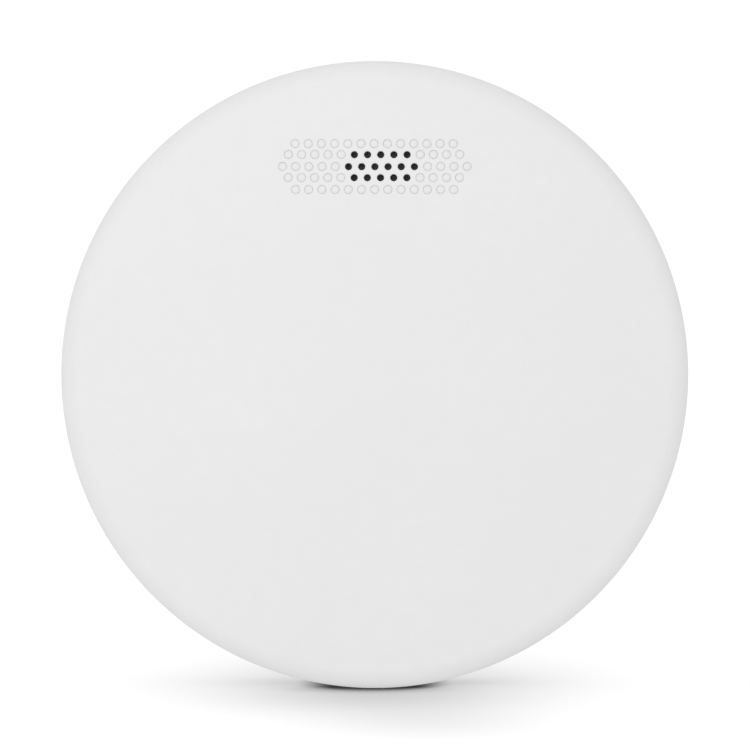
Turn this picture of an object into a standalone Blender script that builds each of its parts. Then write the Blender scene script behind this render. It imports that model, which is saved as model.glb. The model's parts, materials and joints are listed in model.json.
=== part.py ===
# Flat round smoke detector with a press-anywhere front cover, a twist-off wall
# plate and a side battery drawer.
#
# Every shape is drawn in a working frame, in millimetres: x to the right, y up,
# and z the depth away from the wall. The empty "detector" stands that frame up,
# so that depth runs along world -Y, y becomes world +Z, and the origin is the
# centre of the face that lies on the wall.

import math

import bmesh
import bpy
from mathutils import Matrix, Vector

MM = 0.001

# ---------------------------------------------------------------- dimensions
ROUND = 64              # segments of the large round pieces

COVER_R = 60.0          # front cover, outer radius
COVER_FRONT = 38.0      # depth of the front face: the overall thickness
COVER_BACK = 29.4       # rear edge of the cover's skirt
COVER_WALL = 2.0
COVER_EDGE_R = 4.0      # rounding between face and skirt
PRESS_TRAVEL = 1.0      # how far the cover is pushed in to test

HOUSING_R = 58.0        # rear housing, outer radius
HOUSING_BACK = 0.6      # gap between the housing and the wall
HOUSING_FLOOR = (7.0, 9.0)
HOUSING_TOP = 24.0

PLATE_R = 55.5          # wall plate
PLATE_WEB = 2.0
TWIST = 16.0            # degrees from locked to free
BAYONET_ANGLES = (90.0, 210.0, 330.0)

RING_R = (50.6, 52.4)   # smoke inlet ring: inner and outer radius of its fins
RING_BASE_R = 55.7
RING_Z = (22.4, 24.0, 33.4, 34.6)
RING_FINS = 48
RING_OPEN = 0.56        # share of the ring that is open between its fins

GRILLE_Y = 39.4         # middle row of the sound outlet above the centre
GRILLE_PITCH = 2.5
GRILLE_HOLE_R = 0.65
GRILLE_RING_R = 0.77    # engraved rings that stand for the closed holes
GRILLE_SHIFT = 0.5      # the open holes sit half a pitch right of the centre

BOARD_R = 49.5
BOARD_Z = (12.0, 13.6)
BOARD_CUT_Y = -25.0

CHAMBER = (0.0, -4.0)   # optical smoke chamber
CHAMBER_R = 18.6
SOUNDER = (0.0, 34.5)
SOUNDER_R = 15.5

SWITCH = (-30.0, 4.0)
SPRINGS = ((-24.0, 36.0), (24.0, 36.0), (-37.0, -14.0), (37.0, -14.0))
SCREWS = ((-34.0, 22.0), (34.0, 22.0), (-30.0, -20.0), (30.0, -20.0))
HOOK_ANGLES = (20.0, 160.0, 215.0, 325.0)

DRAWER_X = 26.4         # half width of the battery drawer
DRAWER_Z = (9.4, 21.9)
DRAWER_BACK_Y = -27.0
DRAWER_WALL = 1.2
CELL_R = 5.25           # AAA cell
CELL_L = 44.5
CELLS_Y = (-33.8, -44.6)
CELL_Z = 16.05


# ---------------------------------------------------------------- shape tools
def polar(r, degrees, centre=(0.0, 0.0)):
    a = math.radians(degrees)
    return (centre[0] + r * math.cos(a), centre[1] + r * math.sin(a))


def arc(r, a0, a1, steps, centre=(0.0, 0.0)):
    """Points along an arc in a plane, both ends included."""
    return [polar(r, a0 + (a1 - a0) * i / steps, centre) for i in range(steps + 1)]


def outward(bm):
    bmesh.ops.recalc_face_normals(bm, faces=bm.faces)


def add_turned(bm, profile, steps, at=(0.0, 0.0), closed=False):
    """Spins a profile of (radius, z) about the z axis through at. An open
    profile starts and ends on the axis; its flat ends become one face each."""
    new = bmesh.new()
    verts = [new.verts.new((r, 0.0, z)) for r, z in profile]
    edges = [new.edges.new(pair) for pair in zip(verts, verts[1:])]
    if closed:
        edges.append(new.edges.new((verts[-1], verts[0])))
    bmesh.ops.spin(new, geom=verts + edges, cent=(0, 0, 0), axis=(0, 0, 1),
                   angle=math.tau, steps=steps, use_merge=True)
    bmesh.ops.remove_doubles(new, verts=new.verts, dist=1e-4)
    hubs = [v for v in new.verts if math.hypot(v.co.x, v.co.y) < 1e-4 and len(v.link_faces) > 2
            and max(abs(f.calc_center_median().z - v.co.z) for f in v.link_faces) < 1e-4]
    if hubs:
        bmesh.ops.dissolve_verts(new, verts=hubs)
    outward(new)
    for v in new.verts:
        v.co += Vector((at[0], at[1], 0.0))
    copy_into(bm, new)


def add_prism(bm, outline, z0, z1, matrix=None):
    """A closed outline of (x, y) extruded from z0 to z1."""
    new = bmesh.new()
    face = new.faces.new([new.verts.new((x, y, z0)) for x, y in outline])
    made = bmesh.ops.extrude_face_region(new, geom=[face])
    lifted = [e for e in made["geom"] if isinstance(e, bmesh.types.BMVert)]
    bmesh.ops.translate(new, vec=(0, 0, z1 - z0), verts=lifted)
    outward(new)
    if matrix is not None:
        new.transform(matrix)
    copy_into(bm, new)


def add_box(bm, x, y, z, matrix=None):
    add_prism(bm, [(x[0], y[0]), (x[1], y[0]), (x[1], y[1]), (x[0], y[1])], z[0], z[1], matrix)


def add_swept(bm, section, a0, a1, steps):
    """A closed section of (radius, z) swept about the z axis from a0 to a1."""
    new = bmesh.new()
    start = math.radians(a0)
    verts = [new.verts.new((r * math.cos(start), r * math.sin(start), z)) for r, z in section]
    face = new.faces.new(verts)
    made = bmesh.ops.spin(new, geom=[face], cent=(0, 0, 0), axis=(0, 0, 1),
                          angle=math.radians(a1 - a0), steps=steps, use_duplicate=False)
    del made
    outward(new)
    copy_into(bm, new)


def add_cage(bm, count, open_share, r_in, r_out, r_base, z):
    """A ring with a base flange, upright fins and a top hoop in one piece.
    z holds the four levels: base bottom, base top, hoop bottom, hoop top."""
    new = bmesh.new()
    edges_of_fins = []
    for k in range(count):
        middle = 360.0 * k / count
        half = 180.0 / count * (1.0 - open_share)
        edges_of_fins += [middle - half, middle + half]
    rings = {}
    for key, (r, level) in {
        "base_out_low": (r_base, z[0]), "base_out_top": (r_base, z[1]),
        "fin_out_low": (r_out, z[1]), "fin_out_top": (r_out, z[2]), "hoop_out": (r_out, z[3]),
        "hoop_in": (r_in, z[3]), "fin_in_top": (r_in, z[2]), "fin_in_low": (r_in, z[1]),
        "base_in": (r_in, z[0]),
    }.items():
        rings[key] = [new.verts.new((*polar(r, a), level)) for a in edges_of_fins]
    n = len(edges_of_fins)

    def quad(a, i, b, j):
        new.faces.new((rings[a][i % n], rings[a][j % n], rings[b][j % n], rings[b][i % n]))

    always = [("base_out_low", "base_out_top"), ("base_out_top", "fin_out_low"),
              ("fin_out_top", "hoop_out"), ("hoop_out", "hoop_in"), ("hoop_in", "fin_in_top"),
              ("fin_in_low", "base_in"), ("base_in", "base_out_low")]
    for i in range(n):
        j = i + 1
        for a, b in always:
            quad(a, i, b, j)
        if i % 2 == 0:      # a fin
            quad("fin_out_low", i, "fin_out_top", j)
            quad("fin_in_top", i, "fin_in_low", j)
            for s in (i, j):
                new.faces.new((rings["fin_out_low"][s % n], rings["fin_out_top"][s % n],
                               rings["fin_in_top"][s % n], rings["fin_in_low"][s % n]))
        else:               # an opening: its sill and its head
            quad("fin_out_low", i, "fin_in_low", j)
            quad("fin_out_top", i, "fin_in_top", j)
    outward(new)
    copy_into(bm, new)


def add_coil(bm, mean_r, wire_r, turns, z0, z1, at=(0.0, 0.0), end_r=None, sides=4, per_turn=8, matrix=None):
    """A coil spring whose end turns close up, between the levels z0 and z1.
    end_r gives a conical coil its last radius."""
    new = bmesh.new()
    steps = int(turns * per_turn)
    low, high = z0 + wire_r, z1 - wire_r

    def height(t):      # flatter at both ends
        return low + (high - low) * (t - 0.7 * math.sin(math.tau * t) / math.tau)

    def point(t):
        r = mean_r + ((end_r if end_r is not None else mean_r) - mean_r) * t
        a = math.tau * turns * t
        return Vector((r * math.cos(a), r * math.sin(a), height(t)))

    loops = []
    for i in range(steps + 1):
        t = i / steps
        p = point(t)
        along = (point(min(1, t + 1e-4)) - point(max(0, t - 1e-4))).normalized()
        side = Vector((p.x, p.y, 0)).normalized()
        side = (side - along * side.dot(along)).normalized()
        up = along.cross(side)
        loops.append([new.verts.new(p + wire_r * (side * math.cos(math.tau * k / sides)
                                                  + up * math.sin(math.tau * k / sides)))
                      for k in range(sides)])
    for a, b in zip(loops, loops[1:]):
        for k in range(sides):
            new.faces.new((a[k], a[(k + 1) % sides], b[(k + 1) % sides], b[k]))
    new.faces.new(loops[0])
    new.faces.new(list(reversed(loops[-1])))
    outward(new)
    new.transform(Matrix.Translation((at[0], at[1], 0)))
    if matrix is not None:
        new.transform(matrix)
    copy_into(bm, new)


def copy_into(bm, other):
    """Adds one closed shell to a mesh being built."""
    mesh = bpy.data.meshes.new("shell")
    other.to_mesh(mesh)
    other.free()
    bm.from_mesh(mesh)
    bpy.data.meshes.remove(mesh)


def stadium(centre, length, width, steps=6, upright=False):
    """A slot's outline: length overall, with round ends."""
    r, half = width / 2, length / 2 - width / 2
    points = arc(r, -90, 90, steps, (half, 0)) + arc(r, 90, 270, steps, (-half, 0))
    if upright:
        points = [(-y, x) for x, y in points]
    return [(x + centre[0], y + centre[1]) for x, y in points]


def strip(points, thickness):
    """The outline of a bent strip of sheet metal, from its centre line."""
    left, right = [], []
    for i, p in enumerate(points):
        before = Vector(points[max(0, i - 1)])
        after = Vector(points[min(len(points) - 1, i + 1)])
        here = Vector(p)
        d_in = (here - before).normalized() if i else (after - here).normalized()
        d_out = (after - here).normalized() if i < len(points) - 1 else d_in
        n_in, n_out = Vector((-d_in.y, d_in.x)), Vector((-d_out.y, d_out.x))
        n = (n_in + n_out).normalized()
        n *= thickness / 2 / max(0.4, n.dot(n_in))
        left.append(tuple(here + n))
        right.append(tuple(here - n))
    return left + right[::-1]


# ---------------------------------------------------------------- scene tools
for old in list(bpy.data.objects):
    bpy.data.objects.remove(old, do_unlink=True)

COLLECTION = bpy.context.scene.collection


def empty(name, parent=None, at=(0, 0, 0)):
    made = bpy.data.objects.new(name, None)
    COLLECTION.objects.link(made)
    made.empty_display_size = 0.01
    made.parent = parent
    made.location = [c * MM for c in at]
    made["at"] = [float(c) for c in at] if parent is None else [
        float(c) + p for c, p in zip(at, parent["at"])]
    return made


DETECTOR = empty("detector")
DETECTOR.rotation_euler = (math.pi / 2, 0, 0)
HEAD = empty("twist_axis", DETECTOR)
COVER = empty("cover_axis", HEAD, (0, 0, COVER_FRONT))
DRAWER = empty("drawer_axis", HEAD, (0, -HOUSING_R, CELL_Z))
PLUNGER = empty("switch_axis", HEAD, (SWITCH[0], SWITCH[1], 17.4))


def material(name, colour, roughness, metallic=0.0, alpha=1.0):
    found = bpy.data.materials.get(name)
    if found:
        return found
    made = bpy.data.materials.new(name)
    made.use_nodes = True
    shader = made.node_tree.nodes["Principled BSDF"]
    shader.inputs["Base Color"].default_value = (*colour, 1.0)
    shader.inputs["Roughness"].default_value = roughness
    shader.inputs["Metallic"].default_value = metallic
    shader.inputs["Alpha"].default_value = alpha
    made.diffuse_color = (*colour, alpha)
    return made


WHITE = material("white_moulding", (0.76, 0.76, 0.76), 0.55)
WHITE_REAR = material("white_rear_moulding", (0.80, 0.80, 0.79), 0.6)
BLACK = material("black_moulding", (0.015, 0.015, 0.016), 0.7)
MESH_BLACK = material("black_mesh", (0.012, 0.012, 0.013), 0.85)
FOAM = material("grey_foam", (0.05, 0.05, 0.055), 0.95)
BOARD_GREEN = material("board_green", (0.015, 0.11, 0.05), 0.45)
STEEL = material("spring_steel", (0.62, 0.62, 0.63), 0.3, 1.0)
BRASS = material("brass", (0.80, 0.60, 0.25), 0.3, 1.0)
CERAMIC = material("fired_ceramic", (0.75, 0.73, 0.66), 0.5)
CLEAR = material("clear_acrylic", (0.92, 0.94, 0.95), 0.08, 0.0, 0.4)
DARK_LENS = material("dark_lens", (0.03, 0.01, 0.02), 0.15)
CHIP = material("chip_black", (0.02, 0.02, 0.022), 0.5)
FERRITE = material("ferrite", (0.06, 0.06, 0.065), 0.6)
CAN = material("aluminium_can", (0.75, 0.76, 0.78), 0.35, 1.0)
CELL_WRAP = material("cell_wrap", (0.05, 0.14, 0.30), 0.4)


def make(name, bm, look, parent, origin, helper=False):
    """Turns the shells in bm, drawn in the working frame in mm, into an object
    whose origin is at origin."""
    mesh = bpy.data.meshes.new(name)
    bm.transform(Matrix.Scale(MM, 4) @ Matrix.Translation([-c for c in origin]))
    bm.to_mesh(mesh)
    bm.free()
    made = bpy.data.objects.new(name, mesh)
    COLLECTION.objects.link(made)
    made.parent = parent
    made.location = [(c - p) * MM for c, p in zip(origin, parent["at"])]
    if helper:
        made.hide_render = True
        made.display_type = "WIRE"
    else:
        mesh.materials.append(look)
        mesh.shade_smooth()
        mesh.set_sharp_from_angle(angle=math.radians(35))
    return made


def boolean(target, kind, bm):
    """Cuts or joins the shells in bm, which don't touch each other."""
    count = sum(m.type == "BOOLEAN" for m in target.modifiers) + 1
    origin = [target.location[i] / MM + target.parent["at"][i] for i in range(3)]
    tool = make(f"{target.name}_tool_{count}", bm, None, target.parent, origin, helper=True)
    step = target.modifiers.new(f"{kind.lower()}_{count}", "BOOLEAN")
    step.operation = kind
    step.solver = "EXACT"
    step.object = tool
    return step


# ---------------------------------------------------------------- wall plate
bm = bmesh.new()
add_turned(bm, [(0, 0), (55.1, 0), (PLATE_R, 0.4), (PLATE_R, PLATE_WEB), (0, PLATE_WEB)], ROUND)
mounting_plate = make("mounting_plate", bm, WHITE_REAR, DETECTOR, (0, 0, 0))
bm = bmesh.new()    # hooked ledges that hold the housing's tabs
for a in BAYONET_ANGLES:
    add_swept(bm, [(49.0, 1.4), (51.0, 1.4), (51.0, 4.2), (53.4, 4.2), (53.4, 6.0), (49.0, 6.0)],
              a - 8.6, a + 8.0, 4)
boolean(mounting_plate, "UNION", bm)
bm = bmesh.new()    # stops at the locked end of each ledge
for a in BAYONET_ANGLES:
    add_swept(bm, [(50.4, 1.4), (53.2, 1.4), (53.2, 5.1), (50.4, 5.1)], a - 8.4, a - 6.7, 1)
boolean(mounting_plate, "UNION", bm)
bm = bmesh.new()    # slots for the wall screws, and windows under the ledges
for k, spot in enumerate(((33.0, 0.0), (-33.0, 0.0), (0.0, 33.0), (0.0, -33.0))):
    add_prism(bm, stadium(spot, 11.0, 3.9, 5, upright=k < 2), -1.0, 4.0)
for a in BAYONET_ANGLES:
    add_swept(bm, [(51.5, -1.0), (53.6, -1.0), (53.6, 3.0), (51.5, 3.0)], a - 5.8, a + 8.0, 3)
boolean(mounting_plate, "DIFFERENCE", bm)

# ---------------------------------------------------------------- rear housing
bm = bmesh.new()
add_turned(bm, [(0, HOUSING_FLOOR[0]), (56.0, HOUSING_FLOOR[0]), (56.0, HOUSING_BACK),
                (57.2, HOUSING_BACK), (57.7, 1.2), (HOUSING_R, 23.4), (57.5, HOUSING_TOP),
                (56.1, HOUSING_TOP), (56.1, HOUSING_FLOOR[1]), (0, HOUSING_FLOOR[1])], ROUND)
rear_housing = make("rear_housing", bm, WHITE, HEAD, (0, 0, 0))
bm = bmesh.new()    # bayonet tabs, reaching in from the collar
for a in BAYONET_ANGLES:
    add_swept(bm, [(51.8, 2.4), (56.6, 2.4), (56.6, 3.8), (51.8, 3.8)], a - 6.0, a + 6.0, 3)
for x, y in SCREWS:     # board pillars
    add_turned(bm, [(0, 8.2), (3.0, 8.2), (3.0, 11.7), (0, 11.7)], 12, (x, y))
for x, y in SPRINGS:    # spring pillars with a guide pin
    add_turned(bm, [(0, 8.2), (3.4, 8.2), (3.4, 23.0), (1.3, 23.0), (1.3, 27.0), (0, 27.0)], 12, (x, y))
boolean(rear_housing, "UNION", bm)
bm = bmesh.new()    # screw holes, and the window that the drawer slides through
for x, y in SCREWS:
    add_turned(bm, [(0, 9.4), (1.4, 9.4), (1.4, 13.0), (0, 13.0)], 10, (x, y))
add_box(bm, (-DRAWER_X - 0.4, DRAWER_X + 0.4), (-62.0, -46.0), (9.2, 22.3))
boolean(rear_housing, "DIFFERENCE", bm)

# ---------------------------------------------------------------- smoke inlet
bm = bmesh.new()
add_cage(bm, RING_FINS, RING_OPEN, RING_R[0], RING_R[1], RING_BASE_R, RING_Z)
make("inlet_ring", bm, BLACK, HEAD, (0, 0, RING_Z[1]))

# ---------------------------------------------------------------- front cover
edge = [(r, z) for r, z in arc(COVER_EDGE_R, 0, 90, 6, (COVER_R - COVER_EDGE_R, COVER_FRONT - COVER_EDGE_R))]
inner = COVER_R - COVER_WALL
bm = bmesh.new()
add_turned(bm, [(0, COVER_FRONT - COVER_WALL), (inner - 2.0, COVER_FRONT - COVER_WALL),
                (inner - 0.6, COVER_FRONT - COVER_WALL - 0.6), (inner, COVER_FRONT - COVER_WALL - 2.0),
                (inner, COVER_BACK + 0.4), (inner + 0.4, COVER_BACK), (COVER_R - 0.5, COVER_BACK),
                (COVER_R, COVER_BACK + 0.5)] + edge + [(0, COVER_FRONT)], ROUND)
front_cover = make("front_cover", bm, WHITE, COVER, (0, 0, COVER_FRONT))
bm = bmesh.new()
hook = [(46.2, 36.6), (46.2, 20.2), (48.4, 20.2), (51.9, 21.6), (51.9, 22.0), (48.2, 22.0), (48.2, 36.6)]
for a in HOOK_ANGLES:   # hooks drawn in the radial plane, then stood up and turned
    stand = Matrix.Rotation(math.radians(a), 4, "Z") @ Matrix.Rotation(math.radians(90), 4, "X")
    add_prism(bm, hook, -3.5, 3.5, stand)
for x, y in SPRINGS:    # pins that centre the springs
    add_turned(bm, [(0, 32.5), (1.3, 32.5), (1.3, 36.6), (0, 36.6)], 10, (x, y))
add_turned(bm, [(0, 19.95), (1.8, 19.95), (1.8, 36.6), (0, 36.6)], 12, SWITCH)  # presses the switch
boolean(front_cover, "UNION", bm)
GRILLE_ROWS = {-2: (13, 0), -1: (14, 5), 0: (15, 6), 1: (14, 5), 2: (13, 0)}     # positions, open ones
bm = bmesh.new()
for row, (count, opened) in GRILLE_ROWS.items():
    y = GRILLE_Y + row * GRILLE_PITCH * math.sqrt(3) / 2
    for k in range(count):
        x = (k - (count - 1) / 2) * GRILLE_PITCH
        if abs(x - GRILLE_SHIFT * GRILLE_PITCH) < GRILLE_PITCH * opened / 2:
            add_turned(bm, [(0, 35.0), (GRILLE_HOLE_R, 35.0), (GRILLE_HOLE_R, 39.0), (0, 39.0)], 10, (x, y))
        else:
            add_turned(bm, [(GRILLE_RING_R - 0.12, COVER_FRONT + 0.05), (GRILLE_RING_R, COVER_FRONT - 0.25),
                            (GRILLE_RING_R + 0.12, COVER_FRONT + 0.05)], 8, (x, y), True)
boolean(front_cover, "DIFFERENCE", bm)

OUTLET = (GRILLE_SHIFT * GRILLE_PITCH, GRILLE_Y)
bm = bmesh.new()        # the wall is thinner behind the open holes
add_prism(bm, stadium(OUTLET, 16.2, 7.0), 35.0, 36.9)
boolean(front_cover, "DIFFERENCE", bm)
bm = bmesh.new()
add_prism(bm, stadium(OUTLET, 17.6, 8.2), 35.4, 35.7)
make("grille_mesh", bm, MESH_BLACK, COVER, (*OUTLET, 35.4))
bm = bmesh.new()
add_prism(bm, stadium(OUTLET, 22.0, 12.6), 33.6, 35.6)
sounder_gasket = make("sounder_gasket", bm, FOAM, COVER, (*OUTLET, 33.6))
bm = bmesh.new()
add_prism(bm, stadium(OUTLET, 18.6, 9.2), 33.0, 36.2)
boolean(sounder_gasket, "DIFFERENCE", bm)

# ---------------------------------------------------------------- circuit board
cut = math.degrees(math.asin(BOARD_CUT_Y / BOARD_R))
bm = bmesh.new()
add_prism(bm, arc(BOARD_R, cut, 180 - cut, 44), *BOARD_Z)
circuit_board = make("circuit_board", bm, BOARD_GREEN, HEAD, (0, 0, BOARD_Z[0]))
bm = bmesh.new()
for x, y in SCREWS:
    add_turned(bm, [(0, 11.0), (1.4, 11.0), (1.4, 14.5), (0, 14.5)], 10, (x, y))
for x, y in SPRINGS:
    add_turned(bm, [(0, 11.0), (3.9, 11.0), (3.9, 14.5), (0, 14.5)], 14, (x, y))
boolean(circuit_board, "DIFFERENCE", bm)

for name, (x, y) in zip(("upper_left", "upper_right", "lower_left", "lower_right"), SCREWS):
    bm = bmesh.new()
    add_turned(bm, [(0, 9.8), (0.6, 9.8), (1.05, 10.4), (1.05, 13.9), (2.3, 13.9), (2.3, 14.9),
                    (1.8, 15.5), (0, 15.5)], 12, (x, y))
    screw = make(f"board_screw_{name}", bm, STEEL, HEAD, (x, y, 13.9))
    bm = bmesh.new()    # cross recess
    a, b = 0.3, 1.3
    cross = [(a, a), (a, b), (-a, b), (-a, a), (-b, a), (-b, -a), (-a, -a), (-a, -b), (a, -b), (a, -a), (b, -a), (b, a)]
    add_prism(bm, [(x + i, y + j) for i, j in cross], 14.6, 16.0)
    boolean(screw, "DIFFERENCE", bm)

# ---------------------------------------------------------------- smoke chamber
bm = bmesh.new()
add_turned(bm, [(0, 13.9), (CHAMBER_R, 13.9), (CHAMBER_R, 15.9), (0, 15.9)], 36, CHAMBER)
chamber_base = make("chamber_base", bm, BLACK, HEAD, (*CHAMBER, 13.9))
bm = bmesh.new()
for k in range(16):     # chevron vanes that keep light out and let smoke in
    a = 360.0 * k / 16
    across = Vector((-math.sin(math.radians(a)), math.cos(math.radians(a)))) * 0.45
    line = [Vector(polar(r, a + turn, CHAMBER)) for r, turn in ((18.0, 6), (16.1, -4), (14.2, 7))]
    add_prism(bm, [tuple(p + across) for p in line] + [tuple(p - across) for p in reversed(line)], 15.2, 27.0)
boolean(chamber_base, "UNION", bm)
OPTICS = {"infrared_led": 205.0, "photodiode": 335.0}
bm = bmesh.new()        # openings for the legs of the emitter and the receiver
for a in OPTICS.values():
    turn = Matrix.Translation((*CHAMBER, 0)) @ Matrix.Rotation(math.radians(a), 4, "Z")
    add_box(bm, (10.6, 12.6), (-1.8, 1.8), (13.0, 17.0), turn)
boolean(chamber_base, "DIFFERENCE", bm)
for name, a in OPTICS.items():      # lens points at the centre of the chamber
    turn = Matrix.Translation((*CHAMBER, 0)) @ Matrix.Rotation(math.radians(a), 4, "Z")
    lay = turn @ Matrix.Translation((12.6, 0, 18.8)) @ Matrix.Rotation(math.radians(-90), 4, "Y")
    bm = bmesh.new()
    one = bmesh.new()
    dome = [(r, z) for r, z in arc(1.5, 0, 90, 4, (0, 3.4))]
    add_turned(one, [(0, 0), (1.9, 0), (1.9, 0.9), (1.5, 0.9)] + dome[:-1] + [(0, 4.9)], 14)
    one.transform(lay)
    copy_into(bm, one)
    piece = make(name, bm, DARK_LENS if name == "photodiode" else CLEAR, HEAD, (*polar(12.6, a, CHAMBER), 18.8))
    bm = bmesh.new()    # two legs down to the board
    for side in (-1.0, 1.0):
        add_box(bm, (11.4, 11.9), (side - 0.25, side + 0.25), (13.9, 18.6), turn)
    boolean(piece, "UNION", bm)

bm = bmesh.new()
add_turned(bm, [(0, 27.3), (CHAMBER_R, 27.3), (CHAMBER_R, 28.6), (CHAMBER_R - 0.7, 29.3), (0, 29.3)], 36, CHAMBER)
make("chamber_cap", bm, BLACK, HEAD, (*CHAMBER, 27.3))
bm = bmesh.new()
add_turned(bm, [(19.0, 14.0), (19.4, 14.0), (19.4, 29.0), (19.0, 29.0)], 36, CHAMBER, closed=True)
make("insect_screen", bm, STEEL, HEAD, (*CHAMBER, 14.0))

# ---------------------------------------------------------------- sounder
bm = bmesh.new()
add_turned(bm, [(14.0, 13.9), (SOUNDER_R, 13.9), (SOUNDER_R, 30.2), (14.2, 30.2), (14.2, 20.0),
                (12.4, 20.0), (12.4, 18.5), (14.0, 18.5)], 32, SOUNDER, closed=True)
make("sounder_housing", bm, BLACK, HEAD, (*SOUNDER, 13.9))
bm = bmesh.new()
add_turned(bm, [(0, 20.3), (13.8, 20.3), (13.8, 20.6), (0, 20.6)], 32, SOUNDER)
make("piezo_disc", bm, BRASS, HEAD, (*SOUNDER, 20.3))
bm = bmesh.new()
add_turned(bm, [(0, 19.75), (9.5, 19.75), (9.5, 20.0), (0, 20.0)], 24, SOUNDER)
make("piezo_ceramic", bm, CERAMIC, HEAD, (*SOUNDER, 19.75))
bm = bmesh.new()
add_turned(bm, [(0, 30.5), (12.6, 30.5), (12.6, 28.0), (13.9, 28.0), (13.9, 30.5), (SOUNDER_R, 30.5),
                (SOUNDER_R, 31.8), (SOUNDER_R - 0.5, 32.3), (0, 32.3)], 32, SOUNDER)
sounder_cap = make("sounder_cap", bm, BLACK, HEAD, (*SOUNDER, 30.5))
bm = bmesh.new()
add_prism(bm, stadium(OUTLET, 15.6, 7.0), 29.0, 34.0)
boolean(sounder_cap, "DIFFERENCE", bm)
# Contact springs of the piezo element: bent strips drawn in the x, z plane.
for name, line, y in (("ceramic", [(-9.0, 14.05), (-4.0, 14.05), (-6.2, 17.2), (-2.4, 19.2)], 33.0),
                      ("disc", [(4.0, 14.05), (9.2, 14.05), (7.6, 16.9), (10.9, 19.7)], 36.0)):
    upright = Matrix.Translation((SOUNDER[0], y, 0)) @ Matrix.Rotation(math.radians(90), 4, "X")
    bm = bmesh.new()
    add_prism(bm, strip(line, 0.3), -0.8, 0.8, upright)
    make(f"piezo_contact_{name}", bm, STEEL, HEAD, (line[0][0], y, 13.9))

# ---------------------------------------------------------------- on the board
bm = bmesh.new()
add_box(bm, (SWITCH[0] - 3.0, SWITCH[0] + 3.0), (SWITCH[1] - 3.0, SWITCH[1] + 3.0), (13.9, 17.0))
test_switch = make("test_switch_body", bm, CHIP, HEAD, (*SWITCH, 13.9))
bevel = test_switch.modifiers.new("edges", "BEVEL")
bevel.width, bevel.segments = 0.3 * MM, 1
bm = bmesh.new()
add_turned(bm, [(0, 17.4), (1.7, 17.4), (1.7, 18.9), (1.4, 19.2), (0, 19.2)], 16, SWITCH)
make("test_switch_plunger", bm, FERRITE, PLUNGER, (*SWITCH, 17.4))

CHIP_AT = (30.0, 5.0)
bm = bmesh.new()
add_box(bm, (CHIP_AT[0] - 3.4, CHIP_AT[0] + 3.4), (CHIP_AT[1] - 5.0, CHIP_AT[1] + 5.0), (14.1, 15.7))
microcontroller = make("microcontroller", bm, CHIP, HEAD, (*CHIP_AT, 14.1))
bm = bmesh.new()        # its pins
for side in (-1, 1):
    for k in range(6):
        y = CHIP_AT[1] - 4.1 + k * 1.64
        stand = Matrix.Translation((CHIP_AT[0], y, 0)) @ Matrix.Rotation(math.radians(90), 4, "X")
        line = [(side * 3.1, 14.9), (side * 4.0, 14.9), (side * 4.3, 14.05), (side * 5.1, 14.05)]
        outline = strip(line, 0.28)
        add_prism(bm, outline if side > 0 else outline[::-1], -0.3, 0.3, stand)
boolean(microcontroller, "UNION", bm)

INDUCTOR = (28.5, -9.5)
bm = bmesh.new()
add_turned(bm, [(0, 13.9), (4.0, 13.9), (4.0, 15.0), (3.2, 15.0), (3.2, 18.2), (4.0, 18.2), (4.0, 19.3),
                (0, 19.3)], 20, INDUCTOR)
make("boost_inductor", bm, FERRITE, HEAD, (*INDUCTOR, 13.9))
CAPACITOR = (-27.5, -10.0)
bm = bmesh.new()
add_turned(bm, [(0, 13.9), (3.1, 13.9), (3.1, 15.0), (2.8, 15.4), (3.1, 15.8), (3.1, 20.6), (2.7, 21.0),
                (0, 21.0)], 18, CAPACITOR)
make("reservoir_capacitor", bm, CAN, HEAD, (*CAPACITOR, 13.9))

LAMP = (-7 * GRILLE_PITCH, GRILLE_Y)
bm = bmesh.new()
add_box(bm, (LAMP[0] - 1.6, LAMP[0] + 1.6), (LAMP[1] - 0.8, LAMP[1] + 0.8), (13.9, 15.0))
make("status_led", bm, CERAMIC, HEAD, (*LAMP, 13.9))
bm = bmesh.new()
add_turned(bm, [(0, 15.3), (1.9, 15.3), (1.9, 16.3), (1.3, 17.0), (1.3, 34.0), (1.0, 34.4), (0, 34.4)], 14, LAMP)
make("light_pipe", bm, CLEAR, HEAD, (*LAMP, 15.3))

for name, (x, y) in zip(("upper_left", "upper_right", "lower_left", "lower_right"), SPRINGS):
    bm = bmesh.new()
    add_coil(bm, 2.2, 0.25, 5, 23.3, 35.7, (x, y))
    make(f"cover_spring_{name}", bm, STEEL, HEAD, (x, y, 23.3))

# ---------------------------------------------------------------- battery drawer
side = math.degrees(math.acos(DRAWER_X / (HOUSING_R - 0.1)))
outline = [(-DRAWER_X, DRAWER_BACK_Y)] + arc(HOUSING_R - 0.1, 180 + side, 360 - side, 12) + [(DRAWER_X, DRAWER_BACK_Y)]
bm = bmesh.new()
add_prism(bm, outline, *DRAWER_Z)
battery_drawer = make("battery_drawer", bm, WHITE, DRAWER, (0, -HOUSING_R, CELL_Z))
bm = bmesh.new()        # grip lip along the drawer's front
add_swept(bm, [(57.2, 10.2), (59.0, 10.2), (59.3, 10.8), (57.2, 12.4)], 261.0, 279.0, 4)
boolean(battery_drawer, "UNION", bm)
inside = DRAWER_X - DRAWER_WALL
side = math.degrees(math.acos(inside / 56.2))
outline = [(-inside, DRAWER_BACK_Y - DRAWER_WALL)] + arc(56.2, 180 + side, 360 - side, 12) + [
    (inside, DRAWER_BACK_Y - DRAWER_WALL)]
bm = bmesh.new()
add_prism(bm, outline, DRAWER_Z[0] + DRAWER_WALL, DRAWER_Z[1] + 2.0)
boolean(battery_drawer, "DIFFERENCE", bm)

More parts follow.
